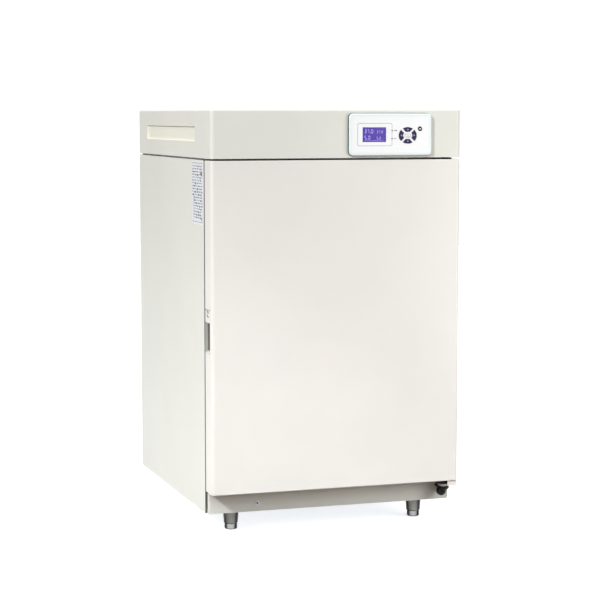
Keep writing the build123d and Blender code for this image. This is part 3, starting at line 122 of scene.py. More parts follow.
class Finish(Shading):
    """A procedural material: one Principled shader and the texture nodes that feed it."""

    def __init__(self, name, **sockets):
        self.material = bpy.data.materials.new(name)
        self.material.use_nodes = True
        super().__init__(self.material.node_tree)
        self.shader = self.nodes["Principled BSDF"]
        for socket, value in sockets.items():
            self.shader.inputs[socket.replace("_", " ")].default_value = value
        self.normal = None

    def place(self, stretch=(1, 1, 1)):
        """The point on the object in metres, scaled along each axis."""
        point = self.add("TexCoord").outputs["Object"]
        return self.add("Mapping", Vector=point, Scale=stretch).outputs["Vector"]

    def noise(self, scale, detail, stretch=(1, 1, 1), distortion=0.0):
        """Noise with so many cells per metre."""
        place = self.place(stretch)
        node = self.add("TexNoise", Vector=place, Scale=scale, Detail=detail, Distortion=distortion)
        return node.outputs["Fac"]

    def cells(self, scale, output="Color", stretch=(1, 1, 1)):
        """Voronoi cells, so many per metre."""
        return self.add("TexVoronoi", Vector=self.place(stretch), Scale=scale).outputs[output]

    def bump(self, height, depth, strength):
        """Adds relief of a depth in metres on top of any relief there already."""
        node = self.add("Bump", Height=height, Distance=depth, Strength=strength)
        if self.normal is not None:
            self.links.new(self.normal, node.inputs["Normal"])
        self.normal = node.outputs["Normal"]

    def colour(self, output):
        """Gives the surface its colour."""
        self.links.new(output, self.shader.inputs["Base Color"])

    def roughness(self, output):
        """Gives the surface its roughness."""
        self.links.new(output, self.shader.inputs["Roughness"])

    def uneven(self, noise, low, high):
        """Gives the surface a roughness that a noise spreads from low to high."""
        self.roughness(self.span(noise, low, high, *NOISE_RANGE))

    def glow(self, output):
        """Gives the surface the colour of the light that it sends out."""
        self.links.new(output, self.shader.inputs["Emission Color"])

    def done(self):
        """The finished material, with its relief."""
        if self.normal is not None:
            self.links.new(self.normal, self.shader.inputs["Normal"])
        return self.material


# ---------------------------------------------------------------- finishes

# A pale green glow is painted on the bezel's rim: full up to the first distance from its edges, and white
# from the second.
RIM_GLOW = (1 * MM, 9 * MM)

SCREEN_GLOW = 0.6

# How fine the display's dot grid and the heater mats' weave are.
SCREEN_DOTS = 1400.0
WEAVE_THREADS = 260.0


def powder_paint(name, colour, roughness, tone=0.02, **sockets):
    """Baked powder paint: orange peel, fine speckle, and a faint drift of tone over a panel."""
    finish = Finish(name, **sockets)
    drift = finish.span(finish.noise(5.0, 3.0), 0.0, 1.0, *NOISE_RANGE)
    wide = finish.blend(drift, shade(colour, 1 - tone), shade(colour, 1 + tone))
    speckle = finish.span(finish.noise(1900.0, 1.0), 0.0, 0.35, 0.45, 0.8)
    finish.colour(finish.blend(speckle, wide, shade(colour, 0.9)))
    finish.uneven(finish.noise(260.0, 3.0), roughness - 0.06, roughness + 0.08)
    finish.bump(finish.noise(420.0, 2.0), 0.12 * MM, 0.35)
    finish.bump(finish.noise(2300.0, 1.0), 0.02 * MM, 0.3)
    return finish.done()


def brushed_steel(name, colour, roughness, grain):
    """Metal with a brushed grain: grain holds the stretch of the scratches along each axis."""
    finish = Finish(name, Metallic=1.0)
    scratch = finish.noise(1.0, 4.0, grain)
    smudge = finish.span(finish.noise(9.0, 4.0), 0.0, 1.0, 0.35, 0.7)
    streaks = finish.blend(scratch, shade(colour, 0.94), shade(colour, 1.06))
    finish.colour(finish.blend(smudge, streaks, shade(colour, 0.94)))
    finish.uneven(scratch, roughness - 0.07, roughness + 0.1)
    finish.bump(scratch, 0.03 * MM, 0.4)
    return finish.done()


def galvanised_steel(name):
    """Zinc coated sheet with its crystal spangle."""
    finish = Finish(name, Metallic=1.0)
    crystals = finish.add("SeparateColor", Color=finish.cells(95.0, stretch=(1, 1, 0.7)))
    crystal = crystals.outputs["Red"]
    finish.colour(finish.blend(crystal, rgb(150, 155, 160), rgb(196, 200, 204)))
    finish.roughness(finish.span(crystal, 0.3, 0.52))
    finish.bump(finish.noise(700.0, 3.0), 0.03 * MM, 0.4)
    return finish.done()


def zinc_plate(name):
    """Bright zinc plated steel, a little cloudy."""
    finish = Finish(name, Metallic=1.0)
    cloud = finish.span(finish.noise(160.0, 4.0), 0.0, 1.0, *NOISE_RANGE)
    finish.colour(finish.blend(cloud, rgb(176, 178, 180), rgb(214, 214, 210)))
    finish.uneven(finish.noise(600.0, 2.0), 0.24, 0.42)
    finish.bump(finish.noise(1500.0, 2.0), 0.02 * MM, 0.4)
    return finish.done()


def machined_metal(name, dark, light, roughness):
    """Turned or rolled metal with fine tool marks."""
    finish = Finish(name, Metallic=1.0)
    marks = finish.noise(1.0, 3.0, (300, 2400, 300))
    finish.colour(finish.blend(marks, dark, light))
    finish.uneven(marks, roughness - 0.06, roughness + 0.1)
    finish.bump(marks, 0.02 * MM, 0.35)
    return finish.done()


def moulded_plastic(name, colour, roughness, dust=0.08, **sockets):
    """Moulded plastic with a spark-eroded grain and a trace of dust."""
    finish = Finish(name, **sockets)
    cloud = finish.span(finish.noise(60.0, 4.0), 0.0, 1.0, 0.35, 0.7)
    speck = finish.span(finish.noise(1700.0, 2.0), 0.0, 1.0, 0.45, 0.75)
    worn = finish.blend(cloud, colour, shade(colour, 1 + dust))
    finish.colour(finish.blend(speck, worn, shade(colour, 1 - dust)))
    finish.uneven(finish.noise(340.0, 3.0), roughness - 0.05, roughness + 0.09)
    finish.bump(finish.noise(2600.0, 2.0), 0.04 * MM, 0.5)
    return finish.done()


def soft_rubber(name, colour, roughness, chalk):
    """Extruded rubber or silicone, with drawing lines along it and a chalky bloom."""
    finish = Finish(name)
    bloom = finish.span(finish.noise(45.0, 5.0), 0.0, 0.6, 0.45, 0.75)
    finish.colour(finish.blend(bloom, colour, chalk))
    finish.uneven(finish.noise(500.0, 3.0), roughness - 0.06, roughness + 0.1)
    finish.bump(finish.noise(1300.0, 3.0), 0.05 * MM, 0.5)
    return finish.done()


def mineral_wool(name):
    """Pressed glass wool: short crossing fibres, yellow and cream."""
    finish = Finish(name)
    fibres = finish.noise(300.0, 6.0, (1, 1, 3.5), 2.5)
    clumps = finish.noise(40.0, 4.0)
    body = finish.blend(clumps, rgb(205, 180, 96), rgb(238, 222, 160))
    finish.colour(finish.blend(finish.span(fibres, 0.0, 1.0, 0.35, 0.65), body, rgb(246, 236, 196)))
    finish.roughness(finish.span(fibres, 0.8, 1.0))
    finish.bump(fibres, 1.2 * MM, 0.8)
    finish.bump(clumps, 4 * MM, 0.4)
    return finish.done()


def heater_mat(name):
    """Fibreglass reinforced silicone, orange brown, with the weave showing through."""
    finish = Finish(name)
    weave = []
    for direction in "XZ":
        threads = finish.add("TexWave", Vector=finish.place(), Scale=WEAVE_THREADS, Distortion=1.5)
        threads.bands_direction = direction
        weave.append(threads.outputs["Fac"])
    cloth = finish.reckon("MAXIMUM", *weave)
    finish.colour(finish.blend(cloth, rgb(150, 62, 30), rgb(198, 96, 52)))
    finish.roughness(finish.span(cloth, 0.5, 0.7))
    finish.bump(cloth, 0.15 * MM, 0.6)
    return finish.done()


def clear_glass(name, tint, roughness=0.02):
    """Toughened glass with faint wiping marks."""
    finish = Finish(name, Transmission_Weight=1.0, IOR=1.5, Base_Color=tint)
    wipe = finish.noise(14.0, 5.0, (1, 1, 3), 1.5)
    finish.roughness(finish.span(wipe, roughness, roughness + 0.05, 0.45, 0.75))
    finish.bump(finish.noise(30.0, 1.0), 0.02 * MM, 0.2)
    return finish.done()


def circuit_board(name):
    """Green solder mask with copper tracks under it and tinned pads."""
    finish = Finish(name)
    bricks = finish.add("TexBrick", Vector=finish.place((90, 90, 90)), Scale=1.0, Mortar_Size=0.06)
    tracks = bricks.outputs["Fac"]
    pads = finish.span(finish.cells(260.0, "Distance"), 1.0, 0.0, 0.12, 0.2)
    mask = finish.blend(tracks, rgb(18, 84, 44), rgb(48, 128, 66))
    finish.colour(finish.blend(pads, mask, rgb(196, 198, 190)))
    finish.roughness(finish.span(pads, 0.42, 0.25))
    finish.bump(tracks, 0.04 * MM, 0.5)
    return finish.done()


def bezel_gloss(name):
    """Glossy white plastic with a painted pale green glow that deepens towards the bezel's rounded rim, as
    light through the plastic's edge would show.
    """
    finish = Finish(name)
    low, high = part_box("control_bezel")
    point = finish.add("SeparateXYZ", Vector=finish.place()).outputs
    gaps = []
    for axis, edge in (("X", low.x), ("X", high.x), ("Z", low.z), ("Z", high.z)):
        gaps.append(finish.reckon("ABSOLUTE", finish.reckon("SUBTRACT", point[axis], edge)))
    nearest = gaps[0]
    for gap in gaps[1:]:
        nearest = finish.reckon("MINIMUM", nearest, gap)
    # Painted glow: the colour turns pale green towards the rim, standing in for light through the plastic's
    # edge.
    rim_glow = finish.span(nearest, 1.0, 0.0, *RIM_GLOW)
    finish.colour(finish.blend(rim_glow, rgb(250, 252, 251), rgb(226, 241, 239)))
    finish.uneven(finish.noise(340.0, 3.0), 0.18, 0.3)
    finish.bump(finish.noise(900.0, 2.0), 0.02 * MM, 0.5)
    return finish.done()


def round_with_painted_shade(name, middle, edge, roughness, marks, **sockets):
    """The finish of a round piece with painted shade: darker where its surface turns away from the
    eye, with fine moulding or tool marks."""
    finish = Finish(name, **sockets)
    turned_away_shade = finish.add("LayerWeight", Blend=0.3).outputs["Facing"]
    cloud = finish.span(finish.noise(160.0, 4.0), 0.0, 1.0, *NOISE_RANGE)
    face = finish.blend(cloud, middle, shade(middle, 1.12))
    # Painted shade: the colour runs to the edge colour where the surface turns away from the eye.
    finish.colour(finish.blend(finish.span(turned_away_shade, 0.0, 1.0, 0.02, 0.2), face, edge))
    finish.uneven(finish.noise(marks, 3.0), roughness - 0.05, roughness + 0.1)
    finish.bump(finish.noise(marks, 2.0), 0.04 * MM, 0.4)
    return finish.done()


def backlit_screen(name):
    """A blue violet backlit display, bluer at the left, with its fine dot grid."""
    finish = Finish(name, Roughness=0.35, Emission_Strength=SCREEN_GLOW)
    low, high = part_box("lcd_module")
    along = finish.add("SeparateXYZ", Vector=finish.place()).outputs["X"]
    side = finish.span(along, 0.0, 1.0, low.x, high.x)
    wide = finish.blend(side, rgb(84, 78, 160), rgb(124, 96, 170))
    dots = finish.span(finish.cells(SCREEN_DOTS, "Distance"), 0.0, 0.25, 0.2, 0.6)
    finish.glow(finish.blend(dots, wide, rgb(62, 52, 128)))
    finish.colour(finish.blend(dots, rgb(70, 60, 150), rgb(50, 40, 120)))
    finish.bump(dots, 0.02 * MM, 0.3)
    return finish.done()


def printed_ink(name, colour, tone=0.12, roughness=0.5, **sockets):
    """Screen printed ink, also used as flat painted shade: a little uneven in cover."""
    finish = Finish(name, **sockets)
    cover = finish.span(finish.noise(1200.0, 3.0), 0.0, 1.0, *NOISE_RANGE)
    finish.colour(finish.blend(cover, shade(colour, 1 - tone), shade(colour, 1 + tone)))
    finish.roughness(finish.span(cover, roughness, roughness + 0.12))
    finish.bump(finish.noise(2600.0, 2.0), 0.01 * MM, 0.3)
    return finish.done()


def glowing_ink(name, colour, strength):
    """The lit digits of the display: pale, with a fine dot grid."""
    finish = Finish(name, Roughness=0.4, Emission_Strength=strength)
    dots = finish.span(finish.cells(SCREEN_DOTS, "Distance"), 0.0, 0.5, 0.2, 0.6)
    lit = finish.blend(dots, colour, shade(colour, 0.75))
    finish.colour(lit)
    finish.glow(lit)
    return finish.done()


# One finish for each material slot of the CAD record.
FINISHES = {
    "cabinet_paint": powder_paint("cabinet_paint_powder", rgb(225, 226, 216), 0.42),
    "door_paint": powder_paint("door_paint_powder", rgb(232, 229, 222), 0.4),
    "recess_paint": powder_paint("recess_paint_powder", rgb(235, 236, 220), 0.42),
    "frame_paint": powder_paint("frame_paint_powder", rgb(228, 228, 222), 0.4),
    "galvanised": galvanised_steel("galvanised_spangle"),
    "stainless": brushed_steel("stainless_brushed", rgb(206, 208, 210), 0.3, (14, 14, 1500)),
    "insulation": mineral_wool("insulation_wool"),
    "heater_silicone": heater_mat("heater_silicone_weave"),
    "seal_silicone": soft_rubber("seal_silicone_soft", rgb(216, 216, 212), 0.5, rgb(232, 232, 228)),
    "gasket_rubber": soft_rubber("gasket_rubber_soft", rgb(22, 22, 23), 0.6, rgb(42, 42, 42)),
    "bezel_plastic": bezel_gloss("bezel_plastic_gloss"),
    "key_plastic": moulded_plastic("key_plastic_satin", rgb(24, 15, 56), 0.34),
    "ok_key_plastic": moulded_plastic("ok_key_plastic_satin", rgb(244, 246, 246), 0.34, dust=0.02),
    "power_key_plastic": moulded_plastic("power_key_plastic_satin", rgb(22, 20, 28), 0.34),
    "lamp_lens": moulded_plastic("lamp_lens_gloss", rgb(34, 34, 42), 0.14),
    "display_lens": clear_glass("display_lens_clear", rgb(236, 232, 250), 0.01),
    "lcd": backlit_screen("lcd_backlit"),
    "circuit_board": circuit_board("circuit_board_green"),
    "black_metal": powder_paint("black_metal_satin", rgb(10, 10, 11), 0.4, 0.1, Specular_IOR_Level=0.12),
    "black_plastic": moulded_plastic("black_plastic_grained", rgb(34, 34, 35), 0.42),
    "nylon": moulded_plastic("nylon_natural", rgb(248, 246, 240), 0.4, dust=0.02, Subsurface_Weight=0.05),
    "grip_plastic": moulded_plastic("grip_plastic_grey", rgb(190, 190, 185), 0.42),
    "latch_plastic": moulded_plastic("latch_plastic_black", rgb(44, 44, 46), 0.4),
    # The feet's housings get painted shade: darker towards their sides, where the surface turns away from
    # the eye.
    "foot_plastic": round_with_painted_shade("foot_plastic_grey", rgb(214, 218, 212), rgb(6, 8, 7), 0.34, 900.0,
                               Specular_IOR_Level=0.25),
    "zinc_steel": zinc_plate("zinc_steel_plated"),
    "brass": machined_metal("brass_turned", rgb(176, 132, 62), rgb(222, 184, 108), 0.26),
    "hose_silicone": soft_rubber("hose_silicone_milky", rgb(206, 212, 216), 0.32, rgb(226, 230, 232)),
    "glass": clear_glass("door_glass_toughened", rgb(236, 248, 244)),
    "rotor_aluminium": machined_metal("rotor_aluminium_rolled", rgb(182, 184, 188), rgb(222, 224, 226), 0.3),
}

for part in frame["record"]["subparts"]:
    node = frame["nodes"][part["node"]]
    node.data.materials[0] = FINISHES[part["material_slot"]]

# The screwed feet get painted shade: darker at their sides than the other zinc plated pieces.
FOOT_STEEL = round_with_painted_shade("foot_steel", rgb(160, 160, 162), rgb(14, 14, 18), 0.3, 1500.0, Metallic=0.9)
for foot in ("foot_front_left", "foot_front_right", "foot_rear_left", "foot_rear_right"):
    frame["nodes"][foot].data.materials[0] = FOOT_STEEL

# Grey and dark ink are print, and also painted shade: in the display's groove, in the grip insert's slots
# and on the kick plate's screw.
GREY_INK_AND_SHADE = printed_ink("grey_ink_and_painted_shade", rgb(148, 152, 154))
INK_BLUE_GREY = printed_ink("ink_blue_grey", rgb(112, 118, 126))
DARK_INK_AND_SHADE = printed_ink("dark_ink_and_painted_shade", rgb(64, 66, 70))
INK_LILAC = printed_ink("ink_lilac", rgb(176, 164, 222))
INK_WHITE = printed_ink("ink_white", rgb(246, 247, 248), 0.02)
LABEL_FILM = printed_ink("label_film_silver", rgb(238, 242, 245), 0.03, 0.28, Metallic=0.1)
DIGIT_GLOW = glowing_ink("digit_glow", rgb(196, 180, 228), 0.8)
# Painted shade: a dark strip that stands for the shade deep inside the finger grip.
GRIP_PAINTED_SHADE = soft_rubber("grip_painted_shade_strip", rgb(84, 80, 72), 0.6, rgb(104, 98, 88))


# ---------------------------------------------------------------- thin printed and inlaid pieces

# How far print stands over the surface under it.
PRINT = 0.05 * MM
CORNER_STEPS = 6


def on_front(depth):
    """A plane facing the front at a depth: across is +X, up is +Z, and out is towards -Y."""
    return lambda across, up, out: (across, depth - out, up)


def on_left(offset):
    """A plane facing the left: across runs towards the front, up is +Z, and out is towards -X."""
    return lambda across, up, out: (offset - out, -across, up)


def level_place(across, along, up):
    """A level plane: across is +X, along is +Y, and out is +Z."""
    return across, along, up


def scene_object(name, mesh, finish):
    """An object made of a mesh with one finish. The mesh is used up."""
    data = bpy.data.meshes.new(name)
    mesh.to_mesh(data)
    mesh.free()
    data.materials.append(finish)
    made = bpy.data.objects.new(name, data)
    bpy.context.scene.collection.objects.link(made)
    return made


def piece(name, mesh, finish, body):
    """A piece of the visual model that rides on a CAD body."""
    mesh.normal_update()
    bmesh.ops.recalc_face_normals(mesh, faces=mesh.faces)
    made = scene_object(name, mesh, finish)
    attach(made, body)


def prism(mesh, outline, place, low, high):
    """A closed plate with a flat outline, between two heights over its plane."""
    floor = [mesh.verts.new(place(across, up, low)) for across, up in outline]
    roof = [mesh.verts.new(place(across, up, high)) for across, up in outline]
    mesh.faces.new(floor)
    mesh.faces.new(roof)
    for index in range(len(outline)):
        after = (index + 1) % len(outline)
        mesh.faces.new((floor[index], floor[after], roof[after], roof[index]))


def band(mesh, outer, inner, place, low, high):
    """A closed plate with a hole: outer and inner outlines have the same number of points."""
    rings = []
    for outline, height in ((outer, low), (outer, high), (inner, high), (inner, low)):
        rings.append([mesh.verts.new(place(across, up, height)) for across, up in outline])
    count = len(outer)
    for first, second in zip(rings, rings[1:] + rings[:1]):
        for index in range(count):
            after = (index + 1) % count
            mesh.faces.new((first[index], first[after], second[after], second[index]))


def rectangle(left, bottom, right, top):
    """The corners of a rectangle."""
    return [(left, bottom), (right, bottom), (right, top), (left, top)]


def rounded(left, bottom, right, top, radius):
    """A rectangle with round corners."""
    corners = (
        (right - radius, top - radius, 0),
        (left + radius, top - radius, 90),
        (left + radius, bottom + radius, 180),
        (right - radius, bottom + radius, 270),
    )
    points = []
    for across, up, start in corners:
        for step in range(CORNER_STEPS + 1):
            angle = math.radians(start + 90 * step / CORNER_STEPS)
            points.append((across + radius * math.cos(angle), up + radius * math.sin(angle)))
    return points


def ellipse(across, up, wide, high, steps=48):
    """An oval with its middle at across, up; wide and high are its half sizes."""
    points = []
    for step in range(steps):
        angle = math.tau * step / steps
        points.append((across + wide * math.cos(angle), up + high * math.sin(angle)))
    return points


# ---------------------------------------------------------------- digits on the display

# The lit bars of each digit: a is the top one, the others follow clockwise, and g is in the middle.
SEGMENTS = {
    "0": "abcdef",
    "3": "abgcd",
    "5": "afgcd",
    "7": "abc",
}

# Each row shows the measured value and the value that is wanted.
DISPLAY_ROWS = (("37.0", "37.0"), ("5.0", "5.0"))

# A digit's parts as shares of its height, and the gaps as shares of a bar's width.
DIGIT_WIDTH = 0.55
BAR_WIDTH = 0.15
BAR_END_GAP = 0.12
DIGIT_GAP = 1.2
POINT_PITCH = 2.0

# Places in the display window, and the thin rule at its foot.
DIGITS_INSET = 5 * MM
FIRST_ROW_DROP = 13.5 * MM
ROW_PITCH = 14 * MM
MEASURED_HEIGHT = 9 * MM
WANTED_HEIGHT = 6.5 * MM
WANTED_SHIFT = 29 * MM
RULE_FOOT = 3 * MM
RULE_HEAD = 3.5 * MM

# The share of the gap between the screen and the window that the digits fill.
DIGIT_RELIEF = 0.4


def segment(mesh, name, left, bottom, wide, high, bar, place, thick):
    """One bar of a seven segment digit, with its pointed ends."""
    half = bar / 2
    gap = bar * BAR_END_GAP
    middle = bottom + high / 2
    levels = {"a": bottom + high - half, "g": middle, "d": bottom + half}
    if name in levels:
        start, end = left + half + gap, left + wide - half - gap
        level = levels[name]
        outline = [
            (start, level),
            (start + half, level + half),
            (end - half, level + half),
            (end, level),
            (end - half, level - half),
            (start + half, level - half),
        ]
    else:
        side = left + half if name in "ef" else left + wide - half
        start = bottom + half + gap if name in "ec" else middle + gap
        end = middle - gap if name in "ec" else bottom + high - half - gap
        outline = [
            (side, start),
            (side + half, start + half),
            (side + half, end - half),
            (side, end),
            (side - half, end - half),
            (side - half, start + half),
        ]
    prism(mesh, outline, place, 0, thick)


def number(mesh, text, left, bottom, high, place, thick):
    """A number in seven segment digits."""
    wide = high * DIGIT_WIDTH
    bar = high * BAR_WIDTH
    for sign in text:
        if sign == ".":
            prism(mesh, rectangle(left, bottom, left + bar, bottom + bar), place, 0, thick)
            left += bar * POINT_PITCH
            continue
        for name in SEGMENTS[sign]:
            segment(mesh, name, left, bottom, wide, high, bar, place, thick)
        left += wide + bar * DIGIT_GAP


def display_digits():
    """Two rows, each with a large measured value and a small wanted value, over a thin rule."""
    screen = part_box("lcd_module")[0].y
    low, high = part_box("display_window")
    place = on_front(screen)
    thick = (screen - high.y) * DIGIT_RELIEF
    left = low.x + DIGITS_INSET
    mesh = bmesh.new()
    for row, (measured, wanted) in enumerate(DISPLAY_ROWS):
        bottom = high.z - FIRST_ROW_DROP - ROW_PITCH * row
        number(mesh, measured, left, bottom, MEASURED_HEIGHT, place, thick)
        number(mesh, wanted, left + WANTED_SHIFT, bottom, WANTED_HEIGHT, place, thick)
    rule = rectangle(left, low.z + RULE_FOOT, high.x - DIGITS_INSET, low.z + RULE_HEAD)
    prism(mesh, rule, place, 0, thick)
    piece("display_digits", mesh, DIGIT_GLOW, "cabinet")


display_digits()


# ---------------------------------------------------------------- print on the keys and the bezel

# How far each corner of an arrow lies ahead of the middle of its key, and to the side.
ARROW = ((2.2 * MM, 0.0), (-1.2 * MM, 2.4 * MM), (-1.2 * MM, -2.4 * MM))

# The centre key's oval line and dash, and the round key's disc.
RING_INSET = 1.0 * MM
RING_WIDTH = 0.7 * MM
DASH_HALF_WIDTH = 2.6 * MM
DASH_HALF_HEIGHT = 0.5 * MM
DASH_ROUND = 0.45 * MM
DISC_RADIUS = 1.7 * MM

# The bars that stand for the lamps' names.
LAMP_RADIUS = 1.5 * MM
NAME_GAP = 3 * MM
NAME_HALF_HEIGHT = 1.1 * MM
NAME_ROUND = 0.6 * MM
NAME_LENGTHS = (8 * MM, 5 * MM)


def middle_of(name):
    """The middle of a CAD node's box."""
    low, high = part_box(name)
    return (low + high) / 2


def key_arrows():
    """A pale triangle on each of the four arc keys, pointing away from the centre."""
    centre = middle_of("key_ok")
    for name in ("key_up", "key_down", "key_left", "key_right"):
        middle = middle_of(name)
        across, up = middle.x - centre.x, middle.z - centre.z
        reach = math.hypot(across, up)
        across, up = across / reach, up / reach
        outline = []
        for ahead, aside in ARROW:
            outline.append((middle.x + across * ahead - up * aside, middle.z + up * ahead + across * aside))
        mesh = bmesh.new()
        prism(mesh, outline, on_front(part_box(name)[0].y), 0, PRINT)
        piece(name + "_arrow", mesh, INK_LILAC, name)


def ok_key_print():
    """A grey oval line round the centre key's face, and a short dash in its middle."""
    low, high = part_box("key_ok")
    middle = middle_of("key_ok")
    wide, tall = (high.x - low.x) / 2 - RING_INSET, (high.z - low.z) / 2 - RING_INSET
    outer = ellipse(middle.x, middle.z, wide, tall)
    inner = ellipse(middle.x, middle.z, wide - RING_WIDTH, tall - RING_WIDTH)
    left, right = middle.x - DASH_HALF_WIDTH, middle.x + DASH_HALF_WIDTH
    bottom, top = middle.z - DASH_HALF_HEIGHT, middle.z + DASH_HALF_HEIGHT
    mesh = bmesh.new()
    band(mesh, outer, inner, on_front(low.y), 0, PRINT)
    prism(mesh, rounded(left, bottom, right, top, DASH_ROUND), on_front(low.y), 0, PRINT)
    piece("key_ok_print", mesh, GREY_INK_AND_SHADE, "key_ok")


def power_key_disc():
    """A white disc in the middle of the round key."""
    middle = middle_of("key_power")
    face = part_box("key_power")[0].y
    mesh = bmesh.new()
    prism(mesh, ellipse(middle.x, middle.z, DISC_RADIUS, DISC_RADIUS), on_front(face), 0, PRINT)
    piece("key_power_disc", mesh, INK_WHITE, "key_power")


def lamp_names():
    """A short bar of print beside each lamp."""
    low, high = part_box("indicator_leds")
    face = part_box("control_bezel")[0].y
    left = high.x + NAME_GAP
    mesh = bmesh.new()
    for level, length in zip((high.z - LAMP_RADIUS, low.z + LAMP_RADIUS), NAME_LENGTHS):
        bottom, top = level - NAME_HALF_HEIGHT, level + NAME_HALF_HEIGHT
        prism(mesh, rounded(left, bottom, left + length, top, NAME_ROUND), on_front(face), 0, PRINT)
    piece("lamp_name_bars", mesh, GREY_INK_AND_SHADE, "cabinet")


key_arrows()
ok_key_print()
power_key_disc()
lamp_names()


# ---------------------------------------------------------------- lines on the cabinet and the bezel

# The black strips of painted shade in the seams at the cabinet's front edges: their widths beside the door
# and beside the kick plate, and how far they stand out.
EDGE_SHADE_INSET = 0.7 * MM
EDGE_SHADE_WIDTH = 9.8 * MM
EDGE_SHADE_FOOT = 2.0 * MM
EDGE_SHADE_DEPTH = 2.7 * MM
EDGE_SHADE_BEVEL = 0.6 * MM

# The groove round the display, shifted to the right of the screen's middle.
GROOVE_SHIFT = 1.2 * MM
GROOVE_MARGIN = 1.5 * MM
GROOVE_WIDTH = 1.0 * MM
GROOVE_DEPTH = 0.5 * MM
GROOVE_ROUND = 4 * MM


def edge_shade_strip(name, side):
    """A soft black strip of painted shade up the seam at the cabinet's front edge: wide beside the
    door, narrow beside the kick plate."""
    low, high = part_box(side)
    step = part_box("kick_plate")[1].z
    outward = 1 if low.x > 0 else -1
    outer = (high.x if outward > 0 else low.x) - outward * EDGE_SHADE_INSET
    crest = low.y - EDGE_SHADE_DEPTH
    mesh = bmesh.new()
    # Painted shade: a black strip fills the seam beside the door and the kick plate, where there is only
    # shade.
    for width, bottom, top in ((EDGE_SHADE_WIDTH, step, high.z), (EDGE_SHADE_FOOT, low.z, step)):
        inner = outer - outward * width
        section = [
            (outer, low.y),
            (outer, crest + EDGE_SHADE_BEVEL),
            (outer - outward * EDGE_SHADE_BEVEL, crest),
            (inner + outward * EDGE_SHADE_BEVEL, crest),
            (inner, crest + EDGE_SHADE_BEVEL),
            (inner, low.y),
        ]
        prism(mesh, section, level_place, bottom, top)
    piece(name, mesh, FINISHES["gasket_rubber"], "cabinet")


def display_groove_shade():
    """A grey band of painted shade laid in the groove round the display."""
    low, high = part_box("lcd_module")
    floor_of_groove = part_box("control_bezel")[0].y + GROOVE_DEPTH
    left, right = low.x - GROOVE_MARGIN + GROOVE_SHIFT, high.x + GROOVE_MARGIN + GROOVE_SHIFT
    bottom, top = low.z - GROOVE_MARGIN, high.z + GROOVE_MARGIN
    outer = rounded(left, bottom, right, top, GROOVE_ROUND)
    inner = rounded(left + GROOVE_WIDTH, bottom + GROOVE_WIDTH, right - GROOVE_WIDTH, top - GROOVE_WIDTH,
                    GROOVE_ROUND - GROOVE_WIDTH)
    mesh = bmesh.new()
    # Painted shade: the grey band stands for the shade in the groove.
    band(mesh, outer, inner, on_front(floor_of_groove), 0, GROOVE_DEPTH - PRINT)
    piece("display_groove_shade", mesh, GREY_INK_AND_SHADE, "cabinet")


edge_shade_strip("edge_shade_strip_left", "left_side_panel")
edge_shade_strip("edge_shade_strip_right", "right_side_panel")
display_groove_shade()


# ---------------------------------------------------------------- grip insert and kick plate screw

# The insert closes the top of the grip, a little behind the grip's face.
INSERT_HEIGHT = 30 * MM
INSERT_DEPTH = 16 * MM
INSERT_RIM = 2.2 * MM
INSERT_SINK = 0.4 * MM
INSERT_ROOF = 4 * MM

# Each slot of painted shade: its middle under the top of the grip, and its corners from there: across, up.
SLOT_DROPS = (6 * MM, 15 * MM)
SLOT = (
    (-9 * MM, 3.5 * MM),
    (-4 * MM, 3.5 * MM),
    (7 * MM, -1 * MM),
    (7 * MM, -3.5 * MM),
    (-3 * MM, -3 * MM),
)

# A dark strip of painted shade lies on the grip's rear wall, between two distances from the grip's open
# side.
STRIP_NEAR = 6 * MM
STRIP_FAR = 12 * MM
STRIP_THICKNESS = 0.3 * MM
STRIP_FOOT = 5 * MM
GRIP_WALL = 2 * MM

# The kick plate's screw, as the CAD places it: across, up.
KICK_SCREW = (-177 * MM, 67 * MM)
KICK_SCREW_RADIUS = 2.9 * MM


def cuboid(mesh, low, high):
    """A box between two corners."""
    prism(mesh, rectangle(low[0], low[1], high[0], high[1]), level_place, low[2], high[2])


def grip_insert():
    """The pale block that closes the top of the finger grip, with two dark slots of painted shade in
    its face, and a dark strip of painted shade down the grip's rear wall."""
    low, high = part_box("door_grip")
    face = low.x + INSERT_SINK
    under = high.z - INSERT_HEIGHT
    block = bmesh.new()
    near_corner = (face, low.y + INSERT_RIM, under)
    far_corner = (face + INSERT_DEPTH, high.y - INSERT_RIM, high.z - INSERT_ROOF)
    cuboid(block, near_corner, far_corner)
    piece("grip_insert", block, FINISHES["door_paint"], "door")

    # Painted shade: flat dark slots stand for the shade in the insert's recesses.
    slots = bmesh.new()
    middle = -(low.y + high.y) / 2
    for drop in SLOT_DROPS:
        outline = [(middle + across, high.z - drop + up) for across, up in SLOT]
        prism(slots, outline, on_left(face), 0, PRINT)
    piece("grip_insert_slot_shade", slots, DARK_INK_AND_SHADE, "door")

    # Painted shade: a dark strip on the rear wall stands for the shade deep in the grip.
    strip = bmesh.new()
    wall = high.y - GRIP_WALL
    near_corner = (low.x + STRIP_NEAR, wall - STRIP_THICKNESS, low.z + STRIP_FOOT)
    cuboid(strip, near_corner, (low.x + STRIP_FAR, wall, under))
    piece("grip_shade_strip", strip, GRIP_PAINTED_SHADE, "door")


def kick_screw_painted_shade():
    """The dark face of the kick plate's screw: a flat disc of painted shade for its recess."""
    across, up = KICK_SCREW
    mesh = bmesh.new()
    shade_disc = ellipse(across, up, KICK_SCREW_RADIUS, KICK_SCREW_RADIUS, 24)
    prism(mesh, shade_disc, on_front(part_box("cabinet_screws")[0].y), 0, PRINT)
    piece("kick_screw_painted_shade", mesh, DARK_INK_AND_SHADE, "cabinet")


grip_insert()
kick_screw_painted_shade()


# ---------------------------------------------------------------- rating label on the left side

